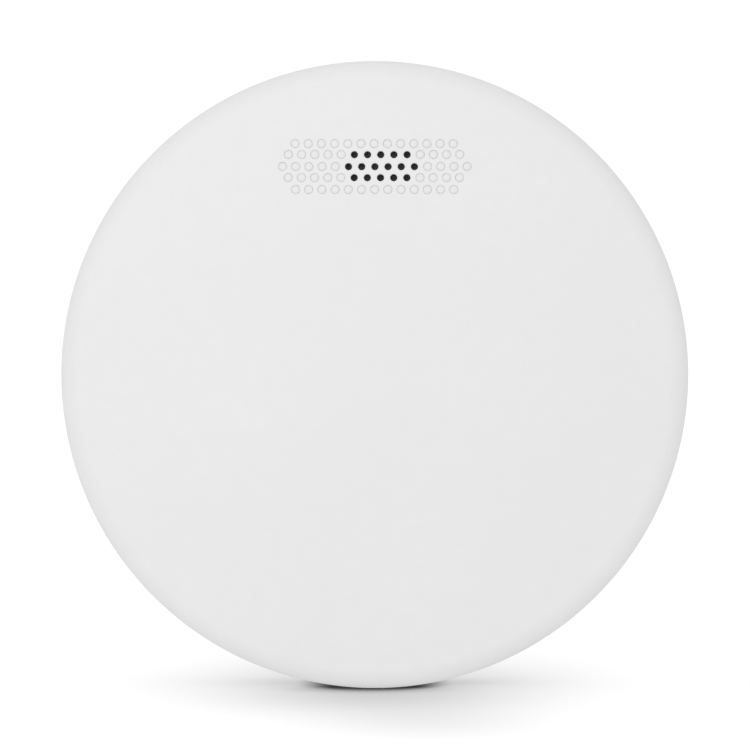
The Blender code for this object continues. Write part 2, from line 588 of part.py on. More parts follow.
half = CELL_L / 2
cell = [(0, -half), (CELL_R - 0.5, -half), (CELL_R, -half + 0.5), (CELL_R, half - 1.5), (CELL_R - 0.6, half - 0.9),
        (1.9, half - 0.9), (1.9, half - 0.2), (1.7, half), (0, half)]
for name, y, points in (("inner", CELLS_Y[0], 1), ("outer", CELLS_Y[1], -1)):
    lay = Matrix.Translation((0, y, CELL_Z)) @ Matrix.Rotation(math.radians(90 * points), 4, "Y")
    bm = bmesh.new()
    one = bmesh.new()
    add_turned(one, cell, 20)
    one.transform(lay)
    copy_into(bm, one)
    make(f"battery_{name}", bm, CELL_WRAP, DRAWER, (0, y, CELL_Z))
    # The coil presses on the flat end of the cell.
    spring = Matrix.Translation((-points * 24.5, y, CELL_Z)) @ Matrix.Rotation(math.radians(90 * points), 4, "Y")
    bm = bmesh.new()
    add_coil(bm, 3.3, 0.3, 2.2, 0.0, 2.05, end_r=1.6, matrix=spring)
    make(f"battery_spring_{name}", bm, STEEL, DRAWER, (-points * 24.5, y, CELL_Z))

dimple = [(0, -0.1), (2.6, -0.1), (1.5, 1.75), (0, 1.75)]   # raised cup that meets the cell's button
bm = bmesh.new()
add_box(bm, (-25.0, -24.7), (CELLS_Y[1] - 3.9, CELLS_Y[0] + 3.9), (12.0, 20.2))
bridge = make("battery_contact_bridge", bm, STEEL, DRAWER, (-25.0, CELLS_Y[1], CELL_Z))
bm = bmesh.new()
one = bmesh.new()
add_turned(one, dimple, 12)
one.transform(Matrix.Translation((-24.75, CELLS_Y[1], CELL_Z)) @ Matrix.Rotation(math.radians(90), 4, "Y"))
copy_into(bm, one)
boolean(bridge, "UNION", bm)
bm = bmesh.new()
add_box(bm, (24.7, 25.0), (CELLS_Y[0] - 3.9, CELLS_Y[0] + 3.9), (12.0, 20.2))
positive = make("battery_contact_positive", bm, STEEL, DRAWER, (25.0, CELLS_Y[0], CELL_Z))
bm = bmesh.new()
one = bmesh.new()
add_turned(one, dimple, 12)
one.transform(Matrix.Translation((24.75, CELLS_Y[0], CELL_Z)) @ Matrix.Rotation(math.radians(-90), 4, "Y"))
copy_into(bm, one)
boolean(positive, "UNION", bm)
bm = bmesh.new()
add_box(bm, (24.7, 25.0), (CELLS_Y[1] - 3.9, CELLS_Y[1] + 3.9), (12.0, 20.2))
make("battery_contact_negative", bm, STEEL, DRAWER, (25.0, CELLS_Y[1], CELL_Z))

# The bay that the drawer runs in: a roof on two side walls.
side = math.degrees(math.acos(28.0 / 49.95))
bm = bmesh.new()
add_prism(bm, [(-28.0, -26.5)] + arc(49.95, 180 + side, 360 - side, 8) + [(28.0, -26.5)], 22.3, 23.4)
battery_bay = make("battery_bay", bm, WHITE_REAR, HEAD, (0, -26.5, 22.3))
bm = bmesh.new()
for x in (-28.0, 26.8):
    add_box(bm, (x, x + 1.2), (-41.0, -26.5), (9.3, 22.9))
boolean(battery_bay, "UNION", bm)
# Leaf contacts between the board's edge and the back of the drawer.
for name, x in (("left", -14.0), ("right", 14.0)):
    stand = Matrix.Translation((x, 0, 0)) @ Matrix(((0, 0, 1, 0), (1, 0, 0, 0), (0, 1, 0, 0), (0, 0, 0, 1)))
    bm = bmesh.new()
    add_prism(bm, strip([(-20.8, 14.05), (-25.0, 14.05), (-26.3, 16.4), (-25.6, 18.6)], 0.3), -1.5, 1.5, stand)
    make(f"drawer_contact_{name}", bm, STEEL, HEAD, (x, -25.0, 13.9))
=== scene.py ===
import json
import math

import bmesh
import bpy
from mathutils import Matrix, Vector
from mathutils.geometry import delaunay_2d_cdt

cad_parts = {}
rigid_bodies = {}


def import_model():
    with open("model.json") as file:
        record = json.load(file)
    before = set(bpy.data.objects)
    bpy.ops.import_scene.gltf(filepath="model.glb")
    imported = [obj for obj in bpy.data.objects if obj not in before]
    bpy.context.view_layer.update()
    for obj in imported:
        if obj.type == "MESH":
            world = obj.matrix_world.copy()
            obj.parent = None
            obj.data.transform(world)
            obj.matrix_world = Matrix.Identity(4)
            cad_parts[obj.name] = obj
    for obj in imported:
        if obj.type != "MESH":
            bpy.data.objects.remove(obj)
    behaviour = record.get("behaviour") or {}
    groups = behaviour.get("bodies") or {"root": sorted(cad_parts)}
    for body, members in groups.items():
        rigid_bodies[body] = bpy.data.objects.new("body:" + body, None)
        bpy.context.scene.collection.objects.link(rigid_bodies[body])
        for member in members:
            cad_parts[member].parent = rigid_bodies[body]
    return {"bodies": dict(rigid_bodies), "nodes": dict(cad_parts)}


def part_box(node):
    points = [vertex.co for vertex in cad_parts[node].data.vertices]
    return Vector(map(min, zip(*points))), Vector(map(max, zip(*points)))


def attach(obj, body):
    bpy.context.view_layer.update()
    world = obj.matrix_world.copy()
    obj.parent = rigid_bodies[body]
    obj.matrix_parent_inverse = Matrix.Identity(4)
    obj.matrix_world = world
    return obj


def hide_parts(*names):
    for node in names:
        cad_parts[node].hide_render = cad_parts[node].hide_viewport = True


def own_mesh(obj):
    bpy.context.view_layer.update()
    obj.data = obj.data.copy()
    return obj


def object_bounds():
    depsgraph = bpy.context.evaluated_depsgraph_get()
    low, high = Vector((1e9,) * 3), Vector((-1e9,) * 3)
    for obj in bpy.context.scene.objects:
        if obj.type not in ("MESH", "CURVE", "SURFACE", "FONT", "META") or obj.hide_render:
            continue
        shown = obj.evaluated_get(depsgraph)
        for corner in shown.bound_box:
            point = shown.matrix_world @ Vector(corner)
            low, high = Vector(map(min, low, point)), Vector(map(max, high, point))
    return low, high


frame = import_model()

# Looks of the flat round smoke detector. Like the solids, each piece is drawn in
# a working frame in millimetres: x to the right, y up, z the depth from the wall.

CAD_BOX = [list(c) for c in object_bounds()]
MM = 0.001
STAND = Matrix.Rotation(math.pi / 2, 4, "X")        # working frame -> row frame


def extent(node):
    """A node's box in the working frame, in mm: (x low, high), (y low, high), (z low, high)."""
    low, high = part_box(node)
    return ((low.x / MM, high.x / MM), (low.z / MM, high.z / MM), (-high.y / MM, -low.y / MM))


# ---------------------------------------------------------------- dimensions
(_, _, (COVER_BACK_HOOKS, COVER_FRONT)) = extent("front_cover")
COVER_R = (extent("front_cover")[0][1] - extent("front_cover")[0][0]) / 2
COVER_WALL = 2.0
COVER_EDGE_R = 4.0
SKIRT_BACK = 29.4
HOUSING_R = (extent("rear_housing")[0][1] - extent("rear_housing")[0][0]) / 2
PLATE_R = (extent("mounting_plate")[0][1] - extent("mounting_plate")[0][0]) / 2
BAYONET_ANGLES = (90.0, 210.0, 330.0)
HOOK_ANGLES = (20.0, 160.0, 215.0, 325.0)
SPRINGS = {"upper_left": (-24.0, 36.0), "upper_right": (24.0, 36.0),
           "lower_left": (-37.0, -14.0), "lower_right": (37.0, -14.0)}
SCREWS = {"upper_left": (-34.0, 22.0), "upper_right": (34.0, 22.0),
          "lower_left": (-30.0, -20.0), "lower_right": (30.0, -20.0)}
GRILLE_Y = 39.4
PITCH = 2.5
ROWS = ((2, 13), (1, 14), (0, 15), (-1, 14), (-2, 13))
OPEN = {1: range(5, 10), 0: range(5, 11), -1: range(5, 10)}
ROW_DRIFT = {2: (-0.10, 0.03), 1: (-0.12, 0.14), 0: (0.02, 0.03), -1: (-0.16, 0.10), -2: (-0.01, 0.0)}     # mould tolerance
OUTLET = (0.5 * PITCH, GRILLE_Y)
CHAMBER = (0.0, -4.0)
SOUNDER = (0.0, 34.5)
SWITCH = (-30.0, 4.0)
CELLS = {"inner": (-33.8, 1), "outer": (-44.6, -1)}
CELL_Z = 16.05
DRAWER_X = 26.4
DRAWER_Z = (9.4, 21.9)
DRAWER_BACK_Y = -27.0


# ---------------------------------------------------------------- shape tools
def polar(r, degrees, centre=(0.0, 0.0)):
    a = math.radians(degrees)
    return (centre[0] + r * math.cos(a), centre[1] + r * math.sin(a))


def arc(r, a0, a1, steps, centre=(0.0, 0.0)):
    return [polar(r, a0 + (a1 - a0) * i / steps, centre) for i in range(steps + 1)]


def rounded(points, radii, steps=4, closed=False):
    """A polyline of 2D points with its corners rounded to the given radii."""
    out, n = [], len(points)
    for i, p in enumerate(points):
        r = radii[i] if not isinstance(radii, (int, float)) else radii
        if r <= 0 or (not closed and i in (0, n - 1)):
            out.append(tuple(p))
            continue
        here = Vector(p)
        to_a, to_b = Vector(points[i - 1]) - here, Vector(points[(i + 1) % n]) - here
        u, v = to_a.normalized(), to_b.normalized()
        half = math.acos(max(-1.0, min(1.0, u.dot(v)))) / 2
        if half > math.radians(89) or half < 1e-3:
            out.append(tuple(p))
            continue
        t = min(r / math.tan(half), 0.48 * to_a.length, 0.48 * to_b.length)
        r = t * math.tan(half)
        centre = here + (u + v).normalized() * (r / math.sin(half))
        start, end = here + u * t - centre, here + v * t - centre
        turn = start.angle_signed(end) if start.length else 0.0
        for k in range(steps + 1):
            a = -turn * k / steps
            out.append((centre.x + start.x * math.cos(a) - start.y * math.sin(a),
                        centre.y + start.x * math.sin(a) + start.y * math.cos(a)))
    return out


def outward(bm):
    bmesh.ops.recalc_face_normals(bm, faces=bm.faces)
    return bm


def joined(*shells):
    """Several meshes in one, side by side."""
    out = bmesh.new()
    for shell in shells:
        mesh = bpy.data.meshes.new("shell")
        shell.to_mesh(mesh)
        shell.free()
        out.from_mesh(mesh)
        bpy.data.meshes.remove(mesh)
    return out


def turned(profile, steps=96, at=(0.0, 0.0), closed=False):
    """A profile of (radius, z) spun about the z axis. An open one starts and ends on the axis."""
    bm = bmesh.new()
    loops = []
    for r, z in profile:
        if r < 1e-6:
            loops.append([bm.verts.new((at[0], at[1], z))])
        else:
            loops.append([bm.verts.new((*polar(r, 360 * k / steps, at), z)) for k in range(steps)])
    pairs = list(zip(loops, loops[1:])) + ([(loops[-1], loops[0])] if closed else [])
    for a, b in pairs:
        for k in range(steps):
            j = (k + 1) % steps
            if len(a) == 1 and len(b) > 1:
                bm.faces.new((a[0], b[k], b[j]))
            elif len(b) == 1 and len(a) > 1:
                bm.faces.new((a[k], b[0], a[j]))
            elif len(a) > 1:
                bm.faces.new((a[k], a[j], b[j], b[k]))
    return outward(bm)


def prism(outline, z0, z1, matrix=None):
    bm = bmesh.new()
    face = bm.faces.new([bm.verts.new((x, y, z0)) for x, y in outline])
    made = bmesh.ops.extrude_face_region(bm, geom=[face])
    bmesh.ops.translate(bm, vec=(0, 0, z1 - z0), verts=[e for e in made["geom"] if isinstance(e, bmesh.types.BMVert)])
    outward(bm)
    if matrix is not None:
        bm.transform(matrix)
    return bm


def slab(x, y, z, matrix=None, corner=0.0):
    outline = [(x[0], y[0]), (x[1], y[0]), (x[1], y[1]), (x[0], y[1])]
    return prism(rounded(outline, corner, 4, closed=True) if corner else outline, z[0], z[1], matrix)


def swept(section, a0, a1, steps):
    """A closed section of (radius, z) swept about the z axis from a0 to a1."""
    bm = bmesh.new()
    loops = [[bm.verts.new((*polar(r, a0 + (a1 - a0) * i / steps), z)) for r, z in section] for i in range(steps + 1)]
    n = len(section)
    for a, b in zip(loops, loops[1:]):
        for k in range(n):
            bm.faces.new((a[k], a[(k + 1) % n], b[(k + 1) % n], b[k]))
    bm.faces.new(loops[0])
    bm.faces.new(list(reversed(loops[-1])))
    return outward(bm)


def tube(points, radius, sides=8, matrix=None):
    """A round wire along a line of points."""
    bm = bmesh.new()
    loops, up = [], None
    for i, p in enumerate(points):
        p = Vector(p)
        along = (Vector(points[min(i + 1, len(points) - 1)]) - Vector(points[max(i - 1, 0)])).normalized()
        if up is None:
            up = along.orthogonal().normalized()
        up = (up - along * up.dot(along)).normalized()
        side = along.cross(up)
        loops.append([bm.verts.new(p + radius * (side * math.cos(math.tau * k / sides) + up * math.sin(math.tau * k / sides)))
                      for k in range(sides)])
    for a, b in zip(loops, loops[1:]):
        for k in range(sides):
            bm.faces.new((a[k], a[(k + 1) % sides], b[(k + 1) % sides], b[k]))
    bm.faces.new(loops[0])
    bm.faces.new(list(reversed(loops[-1])))
    outward(bm)
    if matrix is not None:
        bm.transform(matrix)
    return bm


def coil(mean_r, wire_r, turns, z0, z1, at=(0.0, 0.0), end_r=None, flat=0.7, per_turn=28, sides=10, matrix=None):
    """A coil spring with closed ends; end_r gives a conical coil its last radius."""
    low, high = z0 + wire_r, z1 - wire_r
    steps = int(turns * per_turn)
    points = []
    for i in range(steps + 1):
        t = i / steps
        r = mean_r + ((end_r if end_r is not None else mean_r) - mean_r) * t
        z = low + (high - low) * (t - flat * math.sin(math.tau * t) / math.tau)
        points.append((*polar(r, 360 * turns * t, at), z))
    return tube(points, wire_r, sides, matrix)


def stadium(centre, length, width, steps=10, upright=False):
    r, half = width / 2, length / 2 - width / 2
    points = arc(r, -90, 90, steps, (half, 0)) + arc(r, 90, 270, steps, (-half, 0))
    if upright:
        points = [(-y, x) for x, y in points]
    return [(x + centre[0], y + centre[1]) for x, y in points]


def as_object(bm, name="scratch"):
    mesh = bpy.data.meshes.new(name)
    bm.to_mesh(mesh)
    bm.free()
    made = bpy.data.objects.new(name, mesh)
    bpy.context.scene.collection.objects.link(made)
    return made


def evaluated(obj):
    """The mesh that an object's modifiers give, as a bmesh; the object is removed."""
    bpy.context.view_layer.update()
    depsgraph = bpy.context.evaluated_depsgraph_get()
    mesh = bpy.data.meshes.new_from_object(obj.evaluated_get(depsgraph))
    bm = bmesh.new()
    bm.from_mesh(mesh)
    bpy.data.meshes.remove(mesh)
    old = obj.data
    bpy.data.objects.remove(obj)
    bpy.data.meshes.remove(old)
    return bm


def combined(bm, kind, *tools):
    """bm joined with, or cut by, each of the tools in turn."""
    base = as_object(bm, "base")
    helpers = []
    for tool in tools:
        helper = as_object(tool, "tool")
        step = base.modifiers.new("step", "BOOLEAN")
        step.operation, step.solver, step.object = kind, "EXACT", helper
        helpers.append(helper)
    out = evaluated(base)
    for helper in helpers:
        mesh = helper.data
        bpy.data.objects.remove(helper)
        bpy.data.meshes.remove(mesh)
    bmesh.ops.remove_doubles(out, verts=out.verts, dist=1e-5)
    return out


def softened(bm, width, segments=2, angle=32.0):
    """Rounds every edge sharper than angle."""
    base = as_object(bm, "base")
    step = base.modifiers.new("edges", "BEVEL")
    step.limit_method, step.angle_limit = "ANGLE", math.radians(angle)
    step.width, step.segments, step.use_clamp_overlap = width, segments, True
    step.miter_outer = "MITER_ARC"
    out = evaluated(base)
    bmesh.ops.dissolve_degenerate(out, dist=0.001, edges=out.edges)
    return out


def fill_flat(bm, outer, holes):
    """Triangulates the flat area between an outer loop of verts and the loops of its holes."""
    loops = [outer] + holes
    verts = [v for loop in loops for v in loop]
    flat = [Vector((v.co.x, v.co.y)) for v in verts]
    edges, start, owner = [], 0, []
    for number, loop in enumerate(loops):
        edges += [(start + i, start + (i + 1) % len(loop)) for i in range(len(loop))]
        owner += [number] * len(loop)
        start += len(loop)
    _, _, triangles, origin, _, _ = delaunay_2d_cdt(flat, edges, [], 0, 1e-7)
    for triangle in triangles:
        ids = [origin[i][0] for i in triangle]
        owners = {owner[i] for i in ids}
        if len(owners) == 1 and 0 not in owners:
            continue        # inside one hole
        bm.faces.new([verts[i] for i in ids])


def bridge(bm, a, b):
    n = len(a)
    for k in range(n):
        bm.faces.new((a[k], a[(k + 1) % n], b[(k + 1) % n], b[k]))


# ---------------------------------------------------------------- materials
class Look:
    """A Principled material whose colour, roughness and relief come from nodes."""

    def __init__(self, name, colour, roughness, metallic=0.0, specular=None):
        self.material = bpy.data.materials.new(name)
        self.material.use_nodes = True
        self.tree = self.material.node_tree
        self.shader = self.tree.nodes["Principled BSDF"]
        self.colour = (*colour, 1.0)
        self.shader.inputs["Base Color"].default_value = self.colour
        self.shader.inputs["Roughness"].default_value = roughness
        self.shader.inputs["Metallic"].default_value = metallic
        if specular is not None:
            self.shader.inputs["Specular IOR Level"].default_value = specular
        self.coords = self.add("ShaderNodeTexCoord").outputs["Object"]
        self.normal = None

    def add(self, kind, **settings):
        node = self.tree.nodes.new(kind)
        for key, value in settings.items():
            setattr(node, key, value)
        return node

    def link(self, a, b):
        self.tree.links.new(a, b)

    def stretched(self, scale, rotation=(0, 0, 0)):
        node = self.add("ShaderNodeMapping")
        node.inputs["Scale"].default_value = scale
        node.inputs["Rotation"].default_value = rotation
        self.link(self.coords, node.inputs["Vector"])
        return node.outputs["Vector"]

    def noise(self, scale, detail=2.0, rough=0.5, vector=None, distortion=0.0):
        node = self.add("ShaderNodeTexNoise")
        node.inputs["Scale"].default_value = scale
        node.inputs["Detail"].default_value = detail
        node.inputs["Roughness"].default_value = rough
        node.inputs["Distortion"].default_value = distortion
        self.link(vector or self.coords, node.inputs["Vector"])
        return node.outputs["Fac"]

    def voronoi(self, scale, feature="F1", metric="EUCLIDEAN", out="Distance", vector=None, randomness=1.0):
        node = self.add("ShaderNodeTexVoronoi", feature=feature)
        if feature != "DISTANCE_TO_EDGE":
            node.distance = metric
        node.inputs["Scale"].default_value = scale
        node.inputs["Randomness"].default_value = randomness
        self.link(vector or self.coords, node.inputs["Vector"])
        return node.outputs[out]

    def remap(self, value, low, high, to_low, to_high, smooth=False):
        node = self.add("ShaderNodeMapRange")
        if smooth:
            node.interpolation_type = "SMOOTHSTEP"
        for key, number in zip(("From Min", "From Max", "To Min", "To Max"), (low, high, to_low, to_high)):
            node.inputs[key].default_value = number
        self.link(value, node.inputs["Value"])
        return node.outputs["Result"]

    def math(self, kind, a, b=None, clamp=False):
        node = self.add("ShaderNodeMath", operation=kind, use_clamp=clamp)
        for socket, value in zip(node.inputs, (a, b)):
            if value is None:
                continue
            if isinstance(value, (int, float)):
                socket.default_value = value
            else:
                self.link(value, socket)
        return node.outputs[0]

    def mix(self, factor, a, b):
        node = self.add("ShaderNodeMix", data_type="RGBA")
        for socket, value in ((node.inputs[0], factor), (node.inputs[6], a), (node.inputs[7], b)):
            if isinstance(value, bpy.types.NodeSocket):
                self.link(value, socket)
            elif isinstance(value, (int, float)):
                socket.default_value = value
            else:
                socket.default_value = (*value[:3], 1.0)
        return node.outputs[2]

    def axis(self, name):
        if not hasattr(self, "split"):
            self.split = self.add("ShaderNodeSeparateXYZ")
            self.link(self.coords, self.split.inputs[0])
        return self.split.outputs[name]

    def set(self, socket, value):
        self.link(value, self.shader.inputs[socket])

    def relief(self, height, distance, strength=1.0):
        """Adds a bump layer; height runs from 0 to 1 and distance is in metres."""
        node = self.add("ShaderNodeBump")
        node.inputs["Strength"].default_value = strength
        node.inputs["Distance"].default_value = distance
        self.link(height, node.inputs["Height"])
        if self.normal is not None:
            self.link(self.normal, node.inputs["Normal"])
        self.normal = node.outputs["Normal"]
        self.link(self.normal, self.shader.inputs["Normal"])


def shade(colour, factor):
    return tuple(c * factor for c in colour)


def moulding(name, colour, roughness, grain=0.000012, grain_scale=5200.0, variation=0.012, dust=True, specular=None):
    """Satin moulded plastic: spark-eroded grain, faint flow clouds, handling haze and a little dust."""
    look = Look(name, colour, roughness, specular=specular)
    clouds = look.noise(34.0, 3.0, 0.55)
    tone = look.mix(look.remap(clouds, 0.3, 0.7, 0, 1), shade(colour, 1 - variation), shade(colour, 1 + variation * 0.6))
    fine = look.noise(1500.0, 2.0)
    tone = look.mix(look.remap(fine, 0.35, 0.65, 0.0, 0.35), tone, shade(colour, 1 - variation * 1.2))
    mottle = look.noise(290.0, 2.0)
    tone = look.mix(look.remap(mottle, 0.3, 0.7, 0.0, 0.8), tone, shade(colour, 1 - variation * 1.2))
    if dust:
        specks = look.voronoi(260.0)
        tone = look.mix(look.remap(specks, 0.020, 0.034, 0.16, 0.0, smooth=True), tone, shade(colour, 0.55))
    look.set("Base Color", tone)
    haze = look.noise(70.0, 4.0, 0.6)
    look.set("Roughness", look.remap(look.math("ADD", look.math("MULTIPLY", haze, 0.6), look.math("MULTIPLY", fine, 0.4)),
                                     0.3, 0.7, roughness - 0.06, roughness + 0.07))
    look.relief(look.noise(48.0, 1.0), 0.00002, 0.5)            # faint sink and flow
    look.relief(look.noise(grain_scale, 3.0, 0.6), grain, 0.55)  # mould grain
    return look


def metal(name, colour, roughness, streak=(1, 1, 1), streak_scale=900.0, tarnish=0.08, relief=0.000004):
    """Drawn or rolled metal: streaks along one direction, tarnish in patches."""
    look = Look(name, colour, roughness, metallic=1.0)
    lines = look.noise(streak_scale, 4.0, 0.65, look.stretched(streak))
    patches = look.noise(160.0, 3.0)
    tone = look.mix(look.remap(patches, 0.35, 0.7, 0, 1), colour, shade(colour, 1 - tarnish * 2))
    tone = look.mix(look.remap(lines, 0.35, 0.65, 0, 0.5), tone, shade(colour, 1 - tarnish))
    look.set("Base Color", tone)
    look.set("Roughness", look.remap(look.math("ADD", look.math("MULTIPLY", lines, 0.5), look.math("MULTIPLY", patches, 0.5)),
                                     0.3, 0.7, roughness - 0.07, roughness + 0.1))
    look.relief(lines, relief, 0.6)
    return look


WHITE_TONE = (0.783, 0.783, 0.783)
LOOKS = {}
LOOKS["white"] = moulding("white_moulding", WHITE_TONE, 0.52, variation=0.018)
LOOKS["white_rear"] = moulding("white_rear_moulding", (0.752, 0.752, 0.745), 0.58, grain=0.000016, variation=0.02)
LOOKS["black"] = moulding("black_moulding", (0.018, 0.018, 0.019), 0.62, grain=0.00002, grain_scale=3800.0, variation=0.12)

# Woven acoustic mesh behind the sound holes.
look = Look("black_mesh", (0.02, 0.02, 0.021), 0.85)
warp = look.math("SINE", look.math("MULTIPLY", look.axis("X"), math.tau / 0.00016))
weft = look.math("SINE", look.math("MULTIPLY", look.axis("Y"), math.tau / 0.00016))
weave = look.math("MULTIPLY", warp, weft)
look.set("Base Color", look.mix(look.remap(weave, -0.4, 0.8, 0, 1), (0.075, 0.075, 0.078), (0.19, 0.19, 0.195)))
look.set("Roughness", look.remap(look.noise(900.0), 0.3, 0.7, 0.78, 0.92))
look.relief(look.remap(weave, -1, 1, 0, 1), 0.00003, 0.8)
LOOKS["mesh"] = look

# Closed-cell foam.
look = Look("grey_foam", (0.05, 0.05, 0.055), 0.95)
cells = look.voronoi(2600.0)
look.set("Base Color", look.mix(look.remap(cells, 0.1, 0.6, 0, 1), (0.018, 0.018, 0.02), (0.07, 0.07, 0.076)))
look.set("Roughness", look.remap(look.noise(600.0), 0.3, 0.7, 0.88, 0.99))
look.relief(cells, 0.00012, 0.9)
LOOKS["foam"] = look

# Circuit board: solder mask over copper tracks, tinned pads, and a glass-fibre edge.
look = Look("board_green", (0.015, 0.11, 0.05), 0.38)
blocks = look.voronoi(150.0, metric="CHEBYCHEV", out="Distance")
lanes = look.math("ABSOLUTE", look.math("SINE", look.math("MULTIPLY", blocks, 26.0)))
tracks = look.remap(lanes, 0.62, 0.72, 0.0, 1.0)
mask = look.mix(tracks, (0.010, 0.085, 0.036), (0.022, 0.155, 0.062))
mask = look.mix(look.remap(look.noise(90.0, 3.0), 0.35, 0.7, 0, 0.35), mask, (0.008, 0.062, 0.03))
pads = look.voronoi(420.0)
mask = look.mix(look.remap(pads, 0.10, 0.13, 1.0, 0.0), mask, (0.62, 0.60, 0.54))
facing = look.add("ShaderNodeNewGeometry").outputs["Normal"]
along = look.add("ShaderNodeSeparateXYZ")
look.link(facing, along.inputs[0])
edge = look.remap(look.math("ABSOLUTE", along.outputs["Y"]), 0.4, 0.6, 1.0, 0.0)
fibre = look.mix(look.remap(look.noise(1800.0, 2.0, 0.5, look.stretched((1, 1, 6))), 0.35, 0.65, 0, 1),
                 (0.42, 0.36, 0.18), (0.60, 0.53, 0.32))
look.set("Base Color", look.mix(edge, mask, fibre))
look.set("Roughness", look.math("ADD", look.remap(look.noise(300.0), 0.3, 0.7, 0.28, 0.42), look.math("MULTIPLY", edge, 0.35)))
look.relief(tracks, 0.00003, 0.8)
LOOKS["board"] = look

LOOKS["steel"] = metal("spring_steel", (0.62, 0.62, 0.63), 0.28, (1, 1, 8))
LOOKS["screw"] = metal("screw_steel", (0.60, 0.585, 0.53), 0.34, (6, 6, 1), tarnish=0.12)
LOOKS["screen"] = metal("screen_steel", (0.58, 0.58, 0.59), 0.36, (1, 1, 1), 1400.0)
LOOKS["brass"] = metal("brass", (0.80, 0.60, 0.27), 0.27, (9, 1, 1), 700.0, tarnish=0.1)
LOOKS["copper"] = metal("winding_copper", (0.72, 0.34, 0.16), 0.3, (1, 1, 12), 1200.0)
LOOKS["tin"] = metal("tinned_ends", (0.72, 0.72, 0.70), 0.38, (1, 1, 1), 1800.0)
LOOKS["can"] = metal("aluminium_can", (0.78, 0.79, 0.80), 0.30, (1, 1, 10), 900.0)

look = Look("fired_ceramic", (0.78, 0.76, 0.68), 0.5)
grains = look.voronoi(3200.0)
look.set("Base Color", look.mix(look.remap(look.noise(220.0, 4.0), 0.3, 0.7, 0, 1), (0.74, 0.72, 0.64), (0.83, 0.81, 0.74)))
look.set("Roughness", look.remap(grains, 0.0, 0.7, 0.42, 0.6))
look.relief(grains, 0.00001, 0.6)
LOOKS["ceramic"] = look


def clear(name, colour, cloud):
    look = Look(name, colour, 0.07)
    look.shader.inputs["Transmission Weight"].default_value = 0.92
    look.shader.inputs["IOR"].default_value = 1.49
    look.set("Base Color", look.mix(look.remap(look.noise(500.0, 3.0), 0.3, 0.7, 0, 1), colour, cloud))
    look.set("Roughness", look.remap(look.noise(380.0, 3.0), 0.3, 0.7, 0.05, 0.13))
    look.relief(look.noise(900.0, 2.0), 0.000004, 0.5)
    return look


LOOKS["clear"] = clear("clear_acrylic", (0.93, 0.95, 0.96), (0.88, 0.91, 0.93))
LOOKS["lens"] = clear("dark_lens", (0.05, 0.012, 0.03), (0.03, 0.008, 0.02))
LOOKS["lens"].shader.inputs["Transmission Weight"].default_value = 0.35

look = Look("chip_black", (0.022, 0.022, 0.024), 0.5)
look.set("Base Color", look.mix(look.remap(look.noise(3000.0, 3.0), 0.35, 0.65, 0, 1), (0.014, 0.014, 0.016), (0.034, 0.034, 0.036)))
look.set("Roughness", look.remap(look.noise(1400.0, 2.0), 0.3, 0.7, 0.42, 0.6))
look.relief(look.noise(4200.0, 2.0), 0.00001, 0.6)
LOOKS["chip"] = look

look = Look("ferrite", (0.06, 0.06, 0.065), 0.6)
pits = look.voronoi(2400.0)
look.set("Base Color", look.mix(look.remap(pits, 0.05, 0.5, 0, 1), (0.03, 0.03, 0.032), (0.085, 0.085, 0.09)))
look.set("Roughness", look.remap(look.noise(900.0, 3.0), 0.3, 0.7, 0.5, 0.72))
look.relief(pits, 0.00002, 0.7)
LOOKS["ferrite"] = look

# Shrink sleeve of a cell: a dark body with a pale band at its positive end, which lies at +Z of the piece.
look = Look("cell_wrap", (0.05, 0.14, 0.30), 0.33)
band = look.remap(look.axis("Z"), 0.0118, 0.0121, 0.0, 1.0)
line = look.math("MULTIPLY", look.remap(look.axis("Z"), 0.0108, 0.0110, 0.0, 1.0),
                 look.remap(look.axis("Z"), 0.0113, 0.0115, 1.0, 0.0))
body_tone = look.mix(look.remap(look.noise(260.0, 3.0, 0.6, look.stretched((1, 1, 0.3))), 0.3, 0.7, 0, 1),
                     (0.030, 0.085, 0.20), (0.042, 0.12, 0.27))
band_tone = look.mix(look.remap(look.noise(900.0, 2.0, 0.5, look.stretched((1, 1, 0.1))), 0.3, 0.7, 0, 1),
                     (0.66, 0.67, 0.69), (0.78, 0.79, 0.80))
look.set("Base Color", look.mix(line, look.mix(band, body_tone, band_tone), (0.75, 0.76, 0.78)))
look.set("Roughness", look.remap(look.noise(420.0, 3.0), 0.3, 0.7, 0.26, 0.4))
look.relief(look.noise(240.0, 2.0, 0.5, look.stretched((1, 1, 0.15))), 0.00003, 0.5)
LOOKS["wrap"] = look


# ---------------------------------------------------------------- piece tools
def piece(name, bm, look, body, replaces=(), at=None, sharp=35.0, extra=()):
    """Makes a shown piece from a mesh in mm. at places a mesh drawn in its own
    frame; without it the mesh is already in the working frame."""
    bm.transform(Matrix.Scale(MM, 4))
    mesh = bpy.data.meshes.new(name)
    bm.to_mesh(mesh)
    bm.free()
    made = bpy.data.objects.new(name, mesh)
    bpy.context.scene.collection.objects.link(made)
    mesh.materials.append(LOOKS[look].material)
    for other in extra:
        mesh.materials.append(LOOKS[other].material)
    mesh.shade_smooth()
    mesh.set_sharp_from_angle(angle=math.radians(sharp))
    place = Matrix.Identity(4) if at is None else at.copy()
    place.translation = place.translation * MM
    made.matrix_world = STAND @ place
    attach(made, body)
    if replaces:
        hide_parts(*([replaces] if isinstance(replaces, str) else replaces))
    return made


def finish_cad(node, look):
    """Gives a CAD node that stays as it is its procedural material."""
    shown = frame["nodes"][node]
    for slot in shown.material_slots:
        slot.material = LOOKS[look].material
    if not shown.material_slots:
        shown.data.materials.append(LOOKS[look].material)


def radial(a):
    """Takes a shape drawn with x outwards and y up the depth to the radial plane at angle a."""
    return Matrix.Rotation(math.radians(a), 4, "Z") @ Matrix.Rotation(math.radians(90), 4, "X")


